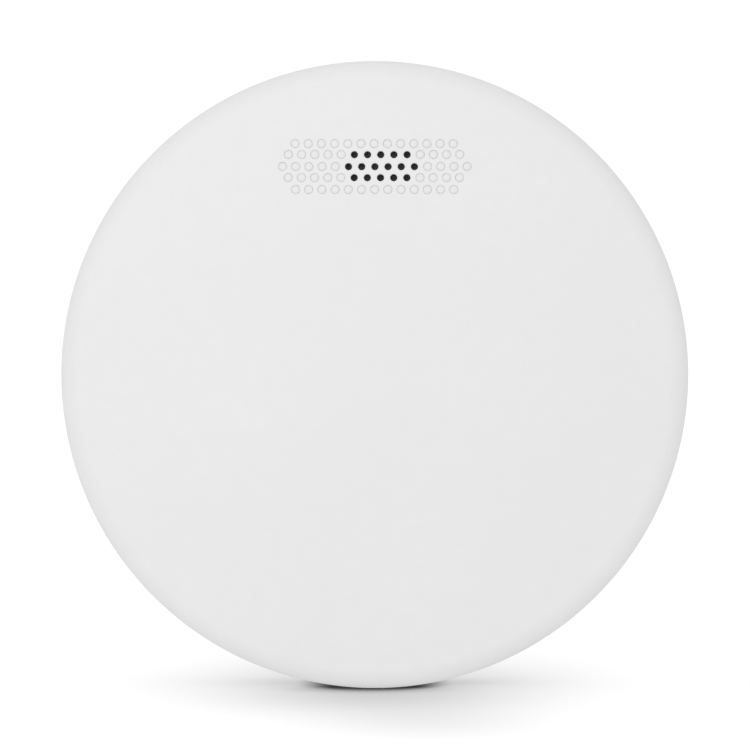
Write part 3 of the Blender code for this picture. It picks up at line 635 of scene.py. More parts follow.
# ---------------------------------------------------------------- front cover
def cover():
    bm = bmesh.new()
    n = 256
    inner = COVER_R - COVER_WALL
    front, back = COVER_FRONT, COVER_FRONT - COVER_WALL
    profile = [(COVER_R - COVER_EDGE_R - 0.5, front)]
    profile += arc(COVER_EDGE_R, 90, 0, 16, (COVER_R - COVER_EDGE_R, front - COVER_EDGE_R))
    profile += rounded([(COVER_R, 33.0), (COVER_R, SKIRT_BACK), (inner + 0.1, SKIRT_BACK), (inner, 33.0)],
                       [0, 0.6, 0.5, 0], 5)
    profile += arc(2.0, 0, 90, 6, (inner - 2.0, back - 2.0))
    profile += [(inner - 2.6, back)]
    clean = [profile[0]]
    for p in profile[1:]:
        if (Vector(p) - Vector(clean[-1])).length > 0.02:
            clean.append(p)
    rings = [[bm.verts.new((*polar(r, 360 * k / n), z)) for k in range(n)] for r, z in clean]
    for a, b in zip(rings, rings[1:]):
        bridge(bm, a, b)

    blind = [(1.04, 0.0), (0.900, 0.0), (0.874, -0.018), (0.826, -0.175), (0.800, -0.215), (0.752, -0.215),
             (0.726, -0.175), (0.674, -0.018), (0.648, 0.0)]        # an engraved ring round a land level with the face
    opened = [(1.05, 0.0), (0.85, 0.0), (0.812, -0.008), (0.745, -0.04), (0.705, -0.09), (0.683, -0.15), (0.672, -0.25)]
    steps = 32
    thin = 36.9         # the wall is thinner behind the open holes
    front_holes, back_holes = [], []
    for row, count in ROWS:
        for k in range(count):
            at = ((k - (count - 1) / 2) * PITCH + ROW_DRIFT[row][0], GRILLE_Y + row * PITCH * math.sqrt(3) / 2 + ROW_DRIFT[row][1])
            through = row in OPEN and k in OPEN[row]
            loops = [[bm.verts.new((*polar(r, 360 * j / steps, at), front + z)) for j in range(steps)]
                     for r, z in (opened if through else blind)]
            if through:
                loops += [[bm.verts.new((*polar(r, 360 * j / steps, at), z)) for j in range(steps)]
                          for r, z in ((0.672, thin + 0.1), (0.74, thin))]
                back_holes.append(loops[-1])
            for a, b in zip(loops, loops[1:]):
                bridge(bm, a, b)
            if not through:
                bm.faces.new(loops[-1])
            front_holes.append(loops[0])
    fill_flat(bm, rings[0], front_holes)
    pocket = [[bm.verts.new((*p, z)) for p in stadium(OUTLET, 16.2 - 2 * inset, 7.0 - 2 * inset, 14)]
              for inset, z in ((-0.15, back), (0.0, back + 0.15), (0.0, thin - 0.2), (0.2, thin))]
    for a, b in zip(pocket, pocket[1:]):
        bridge(bm, a, b)
    fill_flat(bm, rings[-1], [pocket[0]])
    fill_flat(bm, pocket[-1], back_holes)
    outward(bm)

    hook = rounded([(46.2, 36.4), (46.2, 20.2), (48.4, 20.2), (51.9, 21.6), (51.9, 22.0), (48.2, 22.0), (48.2, 36.4)],
                   [0, 0.5, 0.4, 0.2, 0.15, 0.25, 0], 3)
    fixings = [softened(prism(hook, -3.5, 3.5), 0.22).copy() for _ in HOOK_ANGLES]
    for a, shape in zip(HOOK_ANGLES, fixings):
        shape.transform(radial(a))
    for a in HOOK_ANGLES:       # a gusset behind each hook
        gusset = prism([(40.5, 36.4), (46.6, 28.5), (46.6, 36.4)], -0.6, 0.6)
        gusset.transform(radial(a))
        fixings.append(gusset)
    for x, y in SPRINGS.values():
        fixings.append(turned([(0, 32.5), (1.0, 32.5), (1.3, 32.9), (1.3, 35.6), (1.6, 36.4), (0, 36.4)], 28, (x, y)))
    post = turned([(0, 19.95), (1.5, 19.95), (1.8, 20.25), (1.8, 35.4), (2.4, 36.4), (0, 36.4)], 32, SWITCH)
    ring = combined(prism(stadium(OUTLET, 24.6, 15.2), 34.4, 36.4), "DIFFERENCE",
                    prism(stadium(OUTLET, 22.9, 13.5), 33.0, 37.5))
    return joined(bm, *fixings, post, ring)


piece("front_cover_shell", cover(), "white", "cover", "front_cover")

# The acoustic mesh is welded round its rim, so its edge is pressed thin.
rim = stadium(OUTLET, 17.6, 8.2, 16)
bm = bmesh.new()
levels = [(0.0, 35.40), (0.0, 35.52), (0.5, 35.58), (0.9, 35.68)]
loops = []
for inset, z in levels:
    shrink = 1 - inset / 4.1
    loops.append([bm.verts.new((OUTLET[0] + (x - OUTLET[0]) * (1 - inset / 8.8), OUTLET[1] + (y - OUTLET[1]) * shrink, z))
                  for x, y in rim])
for a, b in zip(loops, loops[1:]):
    bridge(bm, a, b)
bm.faces.new(loops[0])
bm.faces.new(loops[-1])
piece("grille_mesh_cloth", outward(bm), "mesh", "cover", "grille_mesh")

gasket = combined(prism(stadium(OUTLET, 22.0, 12.6, 16), 33.6, 35.6), "DIFFERENCE",
                  prism(stadium(OUTLET, 18.6, 9.2, 16), 33.0, 36.2))
piece("sounder_gasket_foam", softened(gasket, 0.3, 3), "foam", "cover", "sounder_gasket")


# ---------------------------------------------------------------- rear housing
def housing():
    profile = rounded([(0, 7.0), (56.0, 7.0), (56.0, 0.6), (57.3, 0.6), (57.78, 1.6), (HOUSING_R, 23.3),
                       (HOUSING_R - 0.1, 24.0), (56.1, 24.0), (56.1, 9.0), (0, 9.0)],
                      [0, 0.8, 0.3, 0.45, 0.6, 0.5, 0.5, 0.35, 0.8, 0], 4)
    bm = turned(profile, 240)
    extras = []
    tab = rounded([(51.8, 2.4), (56.8, 2.4), (56.8, 3.8), (51.8, 3.8)], [0.3, 0, 0, 0.3], 3, closed=True)
    for a in BAYONET_ANGLES:
        extras.append(swept(tab, a - 5.9, a + 5.9, 12))
    for x, y in SCREWS.values():
        extras.append(turned([(0, 8.4), (3.5, 8.4), (3.1, 9.3), (3.0, 11.5), (2.8, 11.7), (0, 11.7)], 32, (x, y)))
    for x, y in SPRINGS.values():
        extras.append(turned([(0, 8.4), (3.9, 8.4), (3.5, 9.3), (3.4, 22.7), (3.1, 23.0), (1.3, 23.0), (1.3, 26.6),
                              (0.9, 27.0), (0, 27.0)], 32, (x, y)))
    cuts = [turned([(0, 9.4), (1.4, 9.4), (1.4, 11.4), (1.8, 11.9), (1.8, 13.0), (0, 13.0)], 24, (x, y))
            for x, y in SCREWS.values()]
    window = softened(slab((-DRAWER_X - 0.4, DRAWER_X + 0.4), (-62.0, -46.0), (9.2, 22.3)), 0.5, 3)
    return combined(bm, "UNION", joined(*extras)), joined(*cuts, window)


shell, cuts = housing()
piece("rear_housing_shell", combined(shell, "DIFFERENCE", cuts), "white", "head", "rear_housing")


# ---------------------------------------------------------------- smoke inlet
def inlet(count=48, open_share=0.56, r_in=50.6, r_out=52.4, r_base=55.7, z=(22.4, 24.0, 33.4, 34.6)):
    """A base flange, upright fins and a top hoop in one piece, with corners turned in."""
    bm = bmesh.new()
    sides = []
    for k in range(count):
        middle, half = 360.0 * k / count, 180.0 / count
        f = half * (1 - open_share)
        sides += [middle - f, middle, middle + f, middle + half * 0.65, middle + half + half * 0.35 - 1e-9]
    n = len(sides)
    kinds = ["fin", "fin", "gap", "gap", "gap"] * count
    rings = {}
    for key, (r, level) in {
        "base_out_low": (r_base, z[0]), "base_out_top": (r_base, z[1]),
        "fin_out_low": (r_out, z[1]), "fin_out_top": (r_out, z[2]), "hoop_out": (r_out, z[3]),
        "hoop_in": (r_in, z[3]), "fin_in_top": (r_in, z[2]), "fin_in_low": (r_in, z[1]),
        "base_in": (r_in, z[0]),
    }.items():
        rings[key] = [bm.verts.new((*polar(r, a), level)) for a in sides]

    def quad(a, b, i, j):
        bm.faces.new((rings[a][i % n], rings[a][j % n], rings[b][j % n], rings[b][i % n]))

    always = [("base_out_low", "base_out_top"), ("base_out_top", "fin_out_low"), ("fin_out_top", "hoop_out"),
              ("hoop_out", "hoop_in"), ("hoop_in", "fin_in_top"), ("fin_in_low", "base_in"), ("base_in", "base_out_low")]
    for i in range(n):
        for a, b in always:
            quad(a, b, i, i + 1)
        if kinds[i] == "fin":
            quad("fin_out_low", "fin_out_top", i, i + 1)
            quad("fin_in_low", "fin_in_top", i, i + 1)
            for s, on in ((i, kinds[i - 1] == "gap"), (i + 1, kinds[(i + 1) % n] == "gap")):
                if on:
                    bm.faces.new([rings[key][s % n] for key in ("fin_out_low", "fin_out_top", "fin_in_top", "fin_in_low")])
        else:
            quad("fin_out_low", "fin_in_low", i, i + 1)
            quad("fin_out_top", "fin_in_top", i, i + 1)
    return softened(outward(bm), 0.28, 3, 40)


piece("inlet_ring_fins", inlet(), "black", "head", "inlet_ring", sharp=40)


# ---------------------------------------------------------------- wall plate
def plate():
    profile = rounded([(0, 0.0), (PLATE_R - 0.3, 0.0), (PLATE_R, 0.35), (PLATE_R, 2.0), (46.0, 2.0), (45.8, 3.0),
                       (45.0, 3.0), (44.8, 2.0), (22.4, 2.0), (22.2, 3.2), (21.2, 3.2), (21.0, 2.0), (0, 2.0)],
                      [0, 0.2, 0.2, 0.3, 0.2, 0.2, 0.2, 0.2, 0.2, 0.2, 0.2, 0.2, 0], 3)
    bm = turned(profile, 216)
    ledge = rounded([(49.0, 1.4), (51.0, 1.4), (51.0, 4.2), (53.4, 4.2), (53.4, 6.0), (49.0, 6.0)],
                    [0, 0, 0.3, 0.25, 0.4, 0.4], 3, closed=True)
    ledges = joined(*[swept(ledge, a - 8.6, a + 8.0, 16) for a in BAYONET_ANGLES])
    stops = joined(*[swept([(50.4, 1.4), (53.2, 1.4), (53.2, 5.1), (50.4, 5.1)], a - 8.4, a - 6.7, 3)
                     for a in BAYONET_ANGLES])
    ribs = []
    for k in range(12):         # stiffening ribs on the side that faces the housing
        a = 15 + 30 * k
        if min(abs((a - b + 180) % 360 - 180) for b in (0, 90, 180, 270)) < 14:
            continue
        rib = slab((21.6, 45.4), (-0.5, 0.5), (1.5, 2.9))
        rib.transform(Matrix.Rotation(math.radians(a), 4, "Z"))
        ribs.append(rib)
    cuts, sinks = [], []
    for k, spot in enumerate(((33.0, 0.0), (-33.0, 0.0), (0.0, 33.0), (0.0, -33.0))):
        cuts.append(prism(stadium(spot, 11.0, 3.9, 14, upright=k < 2), -1.0, 4.0))
        sinks.append(prism(stadium(spot, 14.4, 7.3, 14, upright=k < 2), 1.35, 4.0))
    for a in BAYONET_ANGLES:
        cuts.append(swept([(51.5, -1.0), (53.6, -1.0), (53.6, 3.0), (51.5, 3.0)], a - 5.8, a + 8.0, 14))
    # Marks that the mould leaves on the wall side: ejector pins, the gate, and a shallow turned relief.
    marks = []
    for k in range(6):
        marks.append(turned([(0, -0.5), (2.5, -0.5), (2.5, 0.18), (0, 0.18)], 32, polar(40.5, 30 + 60 * k)))
    for k in range(3):
        marks.append(turned([(0, -0.5), (2.0, -0.5), (2.0, 0.18), (0, 0.18)], 32, polar(12.5, 30 + 120 * k)))
    relief = turned([(20.6, -0.5), (20.6, 0.3), (20.9, 0.5), (23.1, 0.5), (23.4, 0.3), (23.4, -0.5)], 144, closed=True)
    outer = turned([(47.2, -0.5), (47.2, 0.3), (47.5, 0.5), (48.3, 0.5), (48.6, 0.3), (48.6, -0.5)], 144, closed=True)
    bm = combined(bm, "UNION", ledges, stops, joined(*ribs))
    return combined(bm, "DIFFERENCE", joined(*cuts), joined(*sinks), joined(*marks, relief, outer))


piece("mounting_plate_disc", plate(), "white_rear", "wall_plate", "mounting_plate")


# ---------------------------------------------------------------- smoke chamber
cap = turned(rounded([(0, 27.3), (18.6, 27.3), (18.6, 28.8), (18.0, 29.3), (9.0, 29.3), (8.7, 29.0), (0, 29.0)],
                     [0, 0.3, 0.5, 0.3, 0.15, 0.15, 0], 3), 96, CHAMBER)
piece("chamber_cap_lid", cap, "black", "head", "chamber_cap")
finish_cad("chamber_base", "black")
finish_cad("infrared_led", "clear")
finish_cad("photodiode", "lens")


def screen(r=19.2, wave=0.1, wire=0.075, z0=14.15, z1=28.85, uprights=100, hoops=15):
    """Plain-woven wire: each upright passes in front of one hoop and behind the next."""
    shells = []
    for k in range(uprights):
        a, flip = 360.0 * k / uprights, 1 if k % 2 else -1
        steps = (hoops + 1) * 2
        line = []
        for i in range(steps + 1):
            t = i / steps
            line.append((*polar(r + flip * wave * math.sin(math.pi * t * (hoops + 1)), a, CHAMBER), z0 + (z1 - z0) * t))
        shells.append(tube(line, wire, 4))
    for h in range(hoops):
        z, flip = z0 + (z1 - z0) * (h + 0.5) / (hoops + 0.0), 1 if h % 2 else -1
        z = z0 + (z1 - z0) * (h + 1) / (hoops + 1)
        steps = uprights * 2
        profile = []
        for i in range(steps):
            a = 360.0 * i / steps
            sign = math.cos(math.pi * i / 2)
            profile.append((*polar(r + flip * wave * sign, a, CHAMBER), z))
        bm = bmesh.new()
        loops = []
        for x, y, zz in profile:
            out = Vector((x - CHAMBER[0], y - CHAMBER[1])).normalized()
            loops.append([bm.verts.new((x + out.x * wire * math.cos(b), y + out.y * wire * math.cos(b), zz + wire * math.sin(b)))
                          for b in (0, math.pi / 2, math.pi, 1.5 * math.pi)])
        for i in range(steps):
            a, b = loops[i], loops[(i + 1) % steps]
            for s in range(4):
                bm.faces.new((a[s], a[(s + 1) % 4], b[(s + 1) % 4], b[s]))
        shells.append(outward(bm))
    for low in (14.0, 28.35):   # hems folded round both edges
        shells.append(turned([(19.02, low), (19.38, low), (19.38, low + 0.62), (19.02, low + 0.62)], 120, CHAMBER, closed=True))
    return joined(*shells)


piece("insect_screen_weave", screen(), "screen", "head", "insect_screen", sharp=60)


# ---------------------------------------------------------------- sounder
horn = turned(rounded([(14.0, 13.9), (15.5, 13.9), (15.5, 30.2), (14.2, 30.2), (14.2, 20.0), (12.4, 20.0), (12.4, 18.5),
                       (14.0, 18.5)], [0.2, 0.3, 0.35, 0.2, 0.15, 0.2, 0.2, 0.1], 3, closed=True), 112, SOUNDER, closed=True)
piece("sounder_housing_tube", horn, "black", "head", "sounder_housing")
lid = turned(rounded([(0, 30.5), (12.6, 30.5), (12.6, 28.0), (13.9, 28.0), (13.9, 30.5), (15.5, 30.5), (15.5, 31.9),
                      (15.1, 32.3), (0, 32.3)], [0, 0.15, 0.2, 0.2, 0.1, 0.2, 0.3, 0.3, 0], 3), 112, SOUNDER)
port = softened(prism(stadium(OUTLET, 15.6, 7.0, 16), 29.0, 34.0), 0.2)
piece("sounder_cap_lid", combined(lid, "DIFFERENCE", port), "black", "head", "sounder_cap")
disc = turned(rounded([(0, 20.3), (13.8, 20.3), (13.8, 20.6), (0, 20.6)], [0, 0.08, 0.08, 0], 3), 112, SOUNDER)
piece("piezo_disc_sheet", disc, "brass", "head", "piezo_disc")
plate_of_ceramic = turned(rounded([(0, 19.75), (9.5, 19.75), (9.5, 20.0), (0, 20.0)], [0, 0.07, 0.07, 0], 3), 88, SOUNDER)
piece("piezo_ceramic_disc", plate_of_ceramic, "ceramic", "head", "piezo_ceramic")
finish_cad("piezo_contact_ceramic", "steel")
finish_cad("piezo_contact_disc", "steel")


# ---------------------------------------------------------------- board and what it carries
finish_cad("circuit_board", "board")


def cross_screw(at):
    head = turned(rounded([(0, 9.8), (0.25, 9.8), (1.0, 10.6), (1.05, 13.9), (2.3, 13.9), (2.3, 14.8), (1.7, 15.5), (0, 15.5)],
                          [0, 0, 0.1, 0.05, 0.12, 0.5, 0.4, 0], 4), 40)
    a, b = 0.26, 1.25
    cross = [(a, a), (a, b), (-a, b), (-a, a), (-b, a), (-b, -a), (-a, -a), (-a, -b), (a, -b), (a, -a), (b, -a), (b, a)]
    head = combined(head, "DIFFERENCE", prism(cross, 14.5, 16.0))
    thread = coil(1.04, 0.13, 5.2, 10.35, 13.4, flat=0.0, per_turn=20, sides=4)
    both = joined(head, thread)
    both.transform(Matrix.Translation((*at, 0)))
    return both


for key, at in SCREWS.items():
    piece(f"board_screw_{key}_cross", cross_screw(at), "screw", "head", f"board_screw_{key}")

for key, at in SPRINGS.items():
    wire = piece(f"cover_spring_{key}_coil", coil(2.2, 0.25, 5.5, 23.3, 35.7, at), "steel", "head",
                 f"cover_spring_{key}", sharp=60)
    tall = (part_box(f"cover_spring_{key}")[1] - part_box(f"cover_spring_{key}")[0]).y
    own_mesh(wire)

body = softened(slab((-3.0, 3.0), (-3.0, 3.0), (13.9, 16.6), corner=0.5), 0.15)
lidplate = softened(slab((-2.9, 2.9), (-2.9, 2.9), (16.65, 17.0), corner=0.6), 0.08)
rivets = [turned([(0, 16.9), (0.4, 16.9), (0.4, 17.1), (0.25, 17.2), (0, 17.2)], 16, (x, y)) for x in (-2.2, 2.2) for y in (-2.2, 2.2)]
switch = joined(body, lidplate, *rivets)
switch.transform(Matrix.Translation((*SWITCH, 0)))
made = piece("test_switch_case", switch, "chip", "head", "test_switch_body", extra=("steel",))
for polygon in made.data.polygons:
    if polygon.center[2] > 0.01662:
        polygon.material_index = 1
plunger = turned(rounded([(0, 17.4), (1.7, 17.4), (1.7, 18.9), (1.4, 19.2), (0, 19.2)], [0, 0.1, 0.2, 0.2, 0], 3), 40, SWITCH)
piece("test_switch_button", plunger, "chip", "switch_plunger", "test_switch_plunger")

CHIP_AT = (30.0, 5.0)
package = combined(softened(slab((-3.4, 3.4), (-5.0, 5.0), (14.1, 15.7)), 0.18, 2), "DIFFERENCE",
                   turned([(0, 15.55), (0.5, 15.55), (0.5, 16.0), (0, 16.0)], 20, (-2.4, 4.0)))
legs = []
for side in (-1, 1):
    for k in range(8):
        y = -4.2 + k * 1.2
        line = [(3.2, 15.0), (3.9, 15.0), (4.15, 14.75), (4.35, 14.2), (4.6, 14.05), (5.1, 14.05)]
        flat = []
        for i, p in enumerate(line):
            a, b = Vector(line[max(i - 1, 0)]), Vector(line[min(i + 1, len(line) - 1)])
            d = (b - a).normalized()
            flat.append((Vector(p) + Vector((-d.y, d.x)) * 0.09, Vector(p) - Vector((-d.y, d.x)) * 0.09))
        outline = [tuple(p) for p, _ in flat] + [tuple(q) for _, q in reversed(flat)]
        leg = prism([(side * x, z) for x, z in outline], -0.21, 0.21)
        leg.transform(Matrix.Translation((0, y, 0)) @ Matrix.Rotation(math.radians(90), 4, "X"))
        legs.append(outward(leg))
legs = joined(*legs)
count_before = len(package.faces)
both = joined(package, legs)
both.transform(Matrix.Translation((*CHIP_AT, 0)))
made = piece("microcontroller_package", both, "chip", "head", "microcontroller", extra=("tin",))
for polygon in made.data.polygons:
    if polygon.index >= count_before:
        polygon.material_index = 1

INDUCTOR = (28.5, -9.5)
core = turned(rounded([(0, 13.9), (4.0, 13.9), (4.0, 15.0), (2.3, 15.0), (2.3, 18.2), (4.0, 18.2), (4.0, 19.3), (0, 19.3)],
                      [0, 0.2, 0.15, 0.1, 0.1, 0.15, 0.25, 0], 3), 56, INDUCTOR)
piece("boost_inductor_core", core, "ferrite", "head", "boost_inductor")
winding = [coil(2.6 + 0.4 * layer, 0.2, 7.4, 15.05, 18.15, INDUCTOR, flat=0.0, per_turn=24, sides=6) for layer in range(3)]
piece("boost_inductor_winding", joined(*winding), "copper", "head", (), sharp=60)

CAPACITOR = (-27.5, -10.0)
tin = turned(rounded([(0, 14.6), (3.1, 14.6), (3.1, 15.3), (2.8, 15.65), (3.1, 16.0), (3.1, 20.6), (2.6, 21.0), (2.3, 20.85), (0, 20.85)],
                     [0, 0.2, 0.2, 0.3, 0.2, 0.35, 0.15, 0.1, 0], 4), 64, CAPACITOR)
vent = joined(slab((-1.9, 1.9), (-0.09, 0.09), (20.78, 21.2)), slab((-0.09, 0.09), (0.12, 1.9), (20.78, 21.2)),
              slab((-0.09, 0.09), (-1.9, -0.12), (20.78, 21.2)))
vent.transform(Matrix.Translation((*CAPACITOR, 0)))
piece("reservoir_capacitor_can", combined(tin, "DIFFERENCE", vent), "can", "head", "reservoir_capacitor")
foot = softened(slab((-3.1, 3.1), (-3.1, 3.1), (13.9, 14.5), corner=0.9), 0.1)
foot.transform(Matrix.Translation((*CAPACITOR, 0)))
piece("reservoir_capacitor_foot", foot, "chip", "head", ())

LAMP = (-7 * PITCH, GRILLE_Y)
lamp = combined(softened(slab((-1.6, 1.6), (-0.8, 0.8), (13.9, 15.0)), 0.1), "DIFFERENCE",
                turned([(0, 14.6), (0.5, 14.6), (0.65, 15.2), (0, 15.2)], 28))
lamp.transform(Matrix.Translation((*LAMP, 0)))
piece("status_led_package", lamp, "ceramic", "head", "status_led")
pipe = turned(rounded([(0, 15.3), (1.9, 15.3), (1.9, 16.2), (1.3, 17.0), (1.3, 33.9), (0.9, 34.4), (0, 34.4)],
                      [0, 0.15, 0.3, 0.6, 0.3, 0.3, 0], 4), 48, LAMP)
piece("light_pipe_rod", pipe, "clear", "head", "light_pipe")

# Small chip resistors and capacitors, set out in short rows like those of a real board.
bodies, ends = [], []
for row, (x0, y0, turn, count) in enumerate(((17.0, 16.5, 0, 4), (38.0, -2.5, 90, 5), (-41.0, -3.5, 90, 4), (-23.0, 14.5, 0, 2),
                                             (-42.5, 9.5, 90, 3), (37.5, 12.0, 90, 3), (21.5, 22.5, 0, 3), (-25.0, 22.5, 0, 3),
                                             (13.5, -24.2, 0, 0), (41.5, -1.0, 90, 3))):
    for k in range(count):
        spin = Matrix.Rotation(math.radians(turn), 4, "Z")
        spot = Matrix.Translation((x0 + (0 if turn else 2.9 * k), y0 + (2.2 * k if turn else 0), 0)) @ spin
        tall = 0.45 + 0.15 * ((row + k) % 3)
        chip = softened(slab((-0.55, 0.55), (-0.4, 0.4), (13.9, 13.9 + tall)), 0.05, 1)
        chip.transform(spot)
        bodies.append(chip)
        for side in (-1, 1):
            end = softened(slab(tuple(sorted((side * 0.55, side * 0.82))), (-0.42, 0.42), (13.9, 13.92 + tall)), 0.06, 1)
            end.transform(spot)
            ends.append(end)
piece("board_chip_bodies", joined(*bodies), "chip", "head", ())
piece("board_chip_ends", joined(*ends), "tin", "head", ())


# ---------------------------------------------------------------- battery drawer
def drawer():
    side = math.degrees(math.acos(DRAWER_X / (HOUSING_R - 0.1)))
    outline = [(-DRAWER_X, DRAWER_BACK_Y)] + arc(HOUSING_R - 0.1, 180 + side, 360 - side, 48) + [(DRAWER_X, DRAWER_BACK_Y)]
    bm = prism(outline, *DRAWER_Z)
    lip = swept(rounded([(57.0, 10.2), (58.9, 10.2), (59.25, 10.8), (57.0, 12.4)], [0, 0.25, 0.35, 0], 4, closed=True), 261, 279, 24)
    bm = combined(bm, "UNION", softened(lip, 0.15, 2, 60))
    inside = DRAWER_X - 1.2
    side = math.degrees(math.acos(inside / 56.2))
    outline = [(-inside, DRAWER_BACK_Y - 1.2)] + arc(56.2, 180 + side, 360 - side, 48) + [(inside, DRAWER_BACK_Y - 1.2)]
    bm = combined(bm, "DIFFERENCE", prism(outline, DRAWER_Z[0] + 1.2, DRAWER_Z[1] + 2.0))
    bm = softened(bm, 0.22, 2)
    # A ridge between the cells that keeps each from rolling.
    ridge = prism(rounded([(-41.0, 10.2), (-37.4, 10.2), (-38.8, 12.9), (-39.6, 12.9)], [0, 0, 0.3, 0.3], 3, closed=True), -20.0, 20.0,
                  Matrix(((0, 0, 1, 0), (1, 0, 0, 0), (0, 1, 0, 0), (0, 0, 0, 1))))
    return combined(bm, "UNION", outward(ridge))


piece("battery_drawer_tray", drawer(), "white", "drawer", "battery_drawer")
finish_cad("battery_bay", "white_rear")

half, r = 44.5 / 2, 5.25
for key, (y, points) in CELLS.items():
    profile = rounded([(0, -half), (r - 1.2, -half), (r - 1.0, -half + 0.25), (r - 0.55, -half + 0.05), (r - 0.02, -half + 0.35), (r, half - 1.3),
                       (r - 0.45, half - 0.95), (r - 0.9, half - 1.15), (r - 1.1, half - 1.0), (1.95, half - 1.0), (1.9, half - 0.15),
                       (1.7, half), (0, half)],
                      [0, 0.1, 0.15, 0.2, 0.3, 0.45, 0.2, 0.15, 0.1, 0.15, 0.2, 0.2, 0], 4)
    lay = Matrix.Translation((0, y, CELL_Z)) @ Matrix.Rotation(math.radians(90 * points), 4, "Y")
    made = piece(f"battery_{key}_cell", turned(profile, 72), "wrap", "drawer", f"battery_{key}", at=lay, extra=("can",))
    for polygon in made.data.polygons:
        c = polygon.center
        if math.hypot(c.x, c.y) < 0.00455:
            polygon.material_index = 1
    seat = Matrix.Translation((-points * 24.5, y, CELL_Z)) @ Matrix.Rotation(math.radians(90 * points), 4, "Y")
    piece(f"battery_spring_{key}_coil", coil(3.3, 0.3, 2.6, 0.0, 2.05, end_r=1.5, flat=0.3), "steel", "drawer",
          f"battery_spring_{key}", at=seat, sharp=60)
for node in ("battery_contact_bridge", "battery_contact_positive", "battery_contact_negative", "drawer_contact_left",
             "drawer_contact_right"):
    finish_cad(node, "steel")


# ---------------------------------------------------------------- floor, light, camera
# Painted soft shadow round the foot: each patch's middle (x, depth), its reach both ways, in mm, and its share of the
# light.
PAINTED_SHADOW_PATCHES = (((-1.2, 34.3), (10.6, 4.2), 0.67), ((0.1, 43.4), (29.2, 21.9), 0.46), ((1.4, 11.3), (35.6, 31.0), 0.25),
           ((8.5, 74.5), (20.4, 18.0), 0.20))
bottom = CAD_BOX[0][2]
bm = bmesh.new()
bmesh.ops.create_grid(bm, x_segments=24, y_segments=24, size=6.0)
mesh = bpy.data.meshes.new("floor")
bm.to_mesh(mesh)
bm.free()
floor = bpy.data.objects.new("floor", mesh)
bpy.context.scene.collection.objects.link(floor)
floor.location = (0, 0, bottom - 0.00008)
floor.visible_diffuse = False
# The object stands on its drawer once that is out: the floor goes down with it, and its painted shadow goes back under
# it.
follow = floor.constraints.new("TRANSFORM")
follow.target = frame["bodies"]["drawer"]
follow.map_from = follow.map_to = "LOCATION"
follow.map_to_x_from, follow.map_to_y_from, follow.map_to_z_from = "Z", "Z", "Z"
follow.from_min_z, follow.from_max_z = -0.028, 0.0
follow.to_min_y, follow.to_max_y = 0.014, 0.0
follow.to_min_z, follow.to_max_z = -0.028, 0.0
follow.mix_mode = "ADD"

# A glowing floor: it glows evenly white, with painted shadow round the foot of the object.
look = Look("floor_glow_painted_shadow", (0.35, 0.35, 0.35), 0.6, specular=0.05)
look.set("Roughness", look.remap(look.noise(8.0, 3.0), 0.3, 0.7, 0.55, 0.65))


def off_centre(axis, middle, reach):
    """How far along an axis of the floor, in units of reach; middle and reach in mm."""
    return look.math("DIVIDE", look.math("SUBTRACT", look.axis(axis), middle * MM), reach * MM)


def squared(value):
    return look.math("MULTIPLY", value, value)


def painted_shadow_patch(at, reach, share):
    """How much painted shadow a soft oval patch lays on the glowing floor: share at its middle, fading over reach."""
    ratio = look.math("ADD", squared(off_centre("X", at[0], reach[0])), squared(off_centre("Y", -at[1], reach[1])))
    return look.math("MULTIPLY", look.math("EXPONENT", look.math("MULTIPLY", ratio, -1.0)), share)


# The painted shadow patches, summed; below they dim the floor's glow.
painted_shadow = painted_shadow_patch(*PAINTED_SHADOW_PATCHES[0])
for patch in PAINTED_SHADOW_PATCHES[1:]:
    painted_shadow = look.math("ADD", painted_shadow, painted_shadow_patch(*patch))

# Painted contact shadow: a dark line under the rim, where the gap to the floor is a fraction of a millimetre.
across = look.remap(look.math("ABSOLUTE", look.axis("X")), 7.7 * MM, 15.6 * MM, 1.0, 0.0, smooth=True)
depth = look.math("MULTIPLY", look.axis("Y"), -1.0)
bowed = look.math("ADD", depth, look.math("MULTIPLY", squared(look.math("ADD", look.axis("X"), 0.5 * MM)), 20.0))
ahead = look.remap(bowed, 33.8 * MM, 38.0 * MM, 1.0, 0.0, smooth=True)
behind = look.remap(depth, -12.0 * MM, 26.0 * MM, 0.0, 1.0, smooth=True)
# An ambient-occlusion test keeps the painted contact shadow to where the object is close above the floor.
near = look.add("ShaderNodeAmbientOcclusion", samples=16)
near.inputs["Distance"].default_value = 0.012
covered = look.remap(near.outputs["AO"], 0.80, 0.96, 1.0, 0.0, smooth=True)
painted_contact_shadow = look.math("MULTIPLY", look.math("MULTIPLY", across, ahead), look.math("MULTIPLY", behind, covered))
plain = look.mix(look.remap(look.noise(3.0, 3.0), 0.3, 0.7, 0, 1), (0.345, 0.345, 0.345), (0.355, 0.355, 0.355))
# The painted contact shadow darkens the floor's colour, and it and the painted shadow patches dim the floor's glow.
look.set("Base Color", look.mix(look.math("MULTIPLY", painted_contact_shadow, 0.95), plain, (0.0, 0.0, 0.0)))
look.set("Emission Color", look.mix(painted_shadow, (1.0, 1.0, 1.0), (0.0, 0.0, 0.0)))
look.set("Emission Strength", look.math("MULTIPLY", look.math("SUBTRACT", 1.0, look.math("MULTIPLY", painted_contact_shadow, 0.99)), 0.72))
mesh.materials.append(look.material)

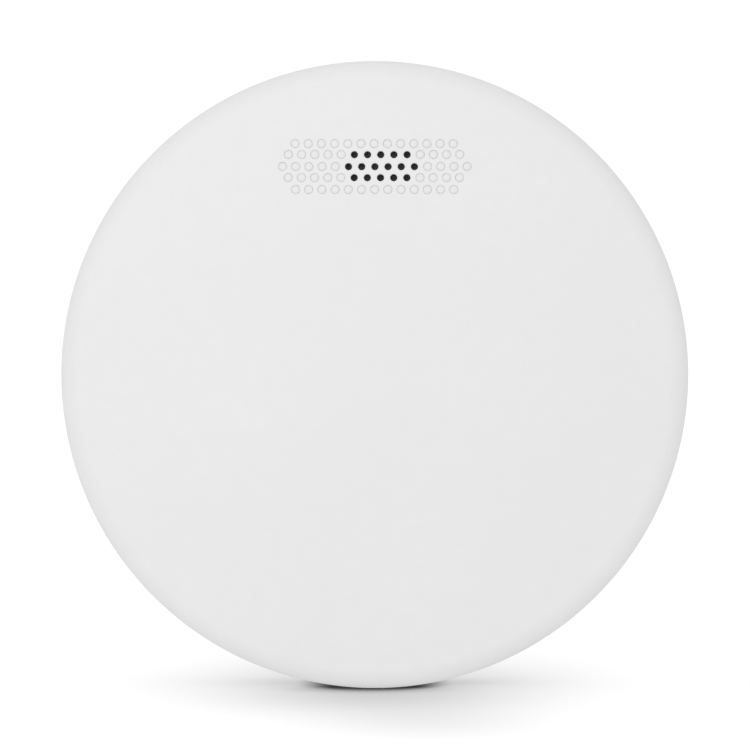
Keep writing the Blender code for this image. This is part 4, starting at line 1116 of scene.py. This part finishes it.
world = bpy.data.worlds.new("studio")
bpy.context.scene.world = world
world.use_nodes = True
tree = world.node_tree
tree.nodes.clear()
out = tree.nodes.new("ShaderNodeOutputWorld")
light = tree.nodes.new("ShaderNodeBackground")
light.inputs["Color"].default_value = (1, 1, 1, 1)
light.inputs["Strength"].default_value = 0.87
seen = tree.nodes.new("ShaderNodeBackground")
seen.inputs["Color"].default_value = (1, 1, 1, 1)
seen.inputs["Strength"].default_value = 1.05
ray = tree.nodes.new("ShaderNodeLightPath")
pick = tree.nodes.new("ShaderNodeMixShader")
tree.links.new(ray.outputs["Is Camera Ray"], pick.inputs[0])
tree.links.new(light.outputs[0], pick.inputs[1])
tree.links.new(seen.outputs[0], pick.inputs[2])
tree.links.new(pick.outputs[0], out.inputs["Surface"])


def softbox(name, towards, away, size, share):
    """A round soft light at a distance from the middle of the object. It adds share
    of white to a surface there that faces it."""
    data = bpy.data.lights.new(name, "AREA")
    data.shape, data.size = "DISK", size
    data.energy = math.pi ** 2 * share * away ** 2
    made = bpy.data.objects.new(name, data)
    bpy.context.scene.collection.objects.link(made)
    direction = Vector(towards).normalized()
    made.location = Vector((0, -COVER_FRONT * MM, 0)) + direction * away
    made.rotation_euler = direction.to_track_quat("Z", "Y").to_euler()
    made.visible_camera = False
    return made


softbox("softbox_key", (-0.24, -0.94, 0.24), 0.45, 0.26, 0.19)

bpy.context.scene.view_settings.view_transform = "Standard"
bpy.context.scene.view_settings.look = "None"
bpy.context.scene.view_settings.exposure = 0.0
bpy.context.scene.view_settings.gamma = 1.0

# The lens looks level at the disc's centre, from far enough to show a true circle.
lens, sensor = 100.0, 36.0
picture_radius = 313.27 / 750.0                      # the disc's radius as a share of the frame
widest = -(COVER_FRONT - COVER_EDGE_R) * MM
away = COVER_R * MM * lens / sensor / picture_radius
data = bpy.data.cameras.new("camera")
data.lens, data.sensor_width = lens, sensor
data.clip_start, data.clip_end = 0.01, 50.0
camera = bpy.data.objects.new("camera", data)
bpy.context.scene.collection.objects.link(camera)
pixel = COVER_R * MM / 313.7
camera.location = (0.2 * pixel, widest - away, -0.5 * pixel)
camera.rotation_euler = (math.pi / 2, 0, 0)
bpy.context.scene.camera = camera
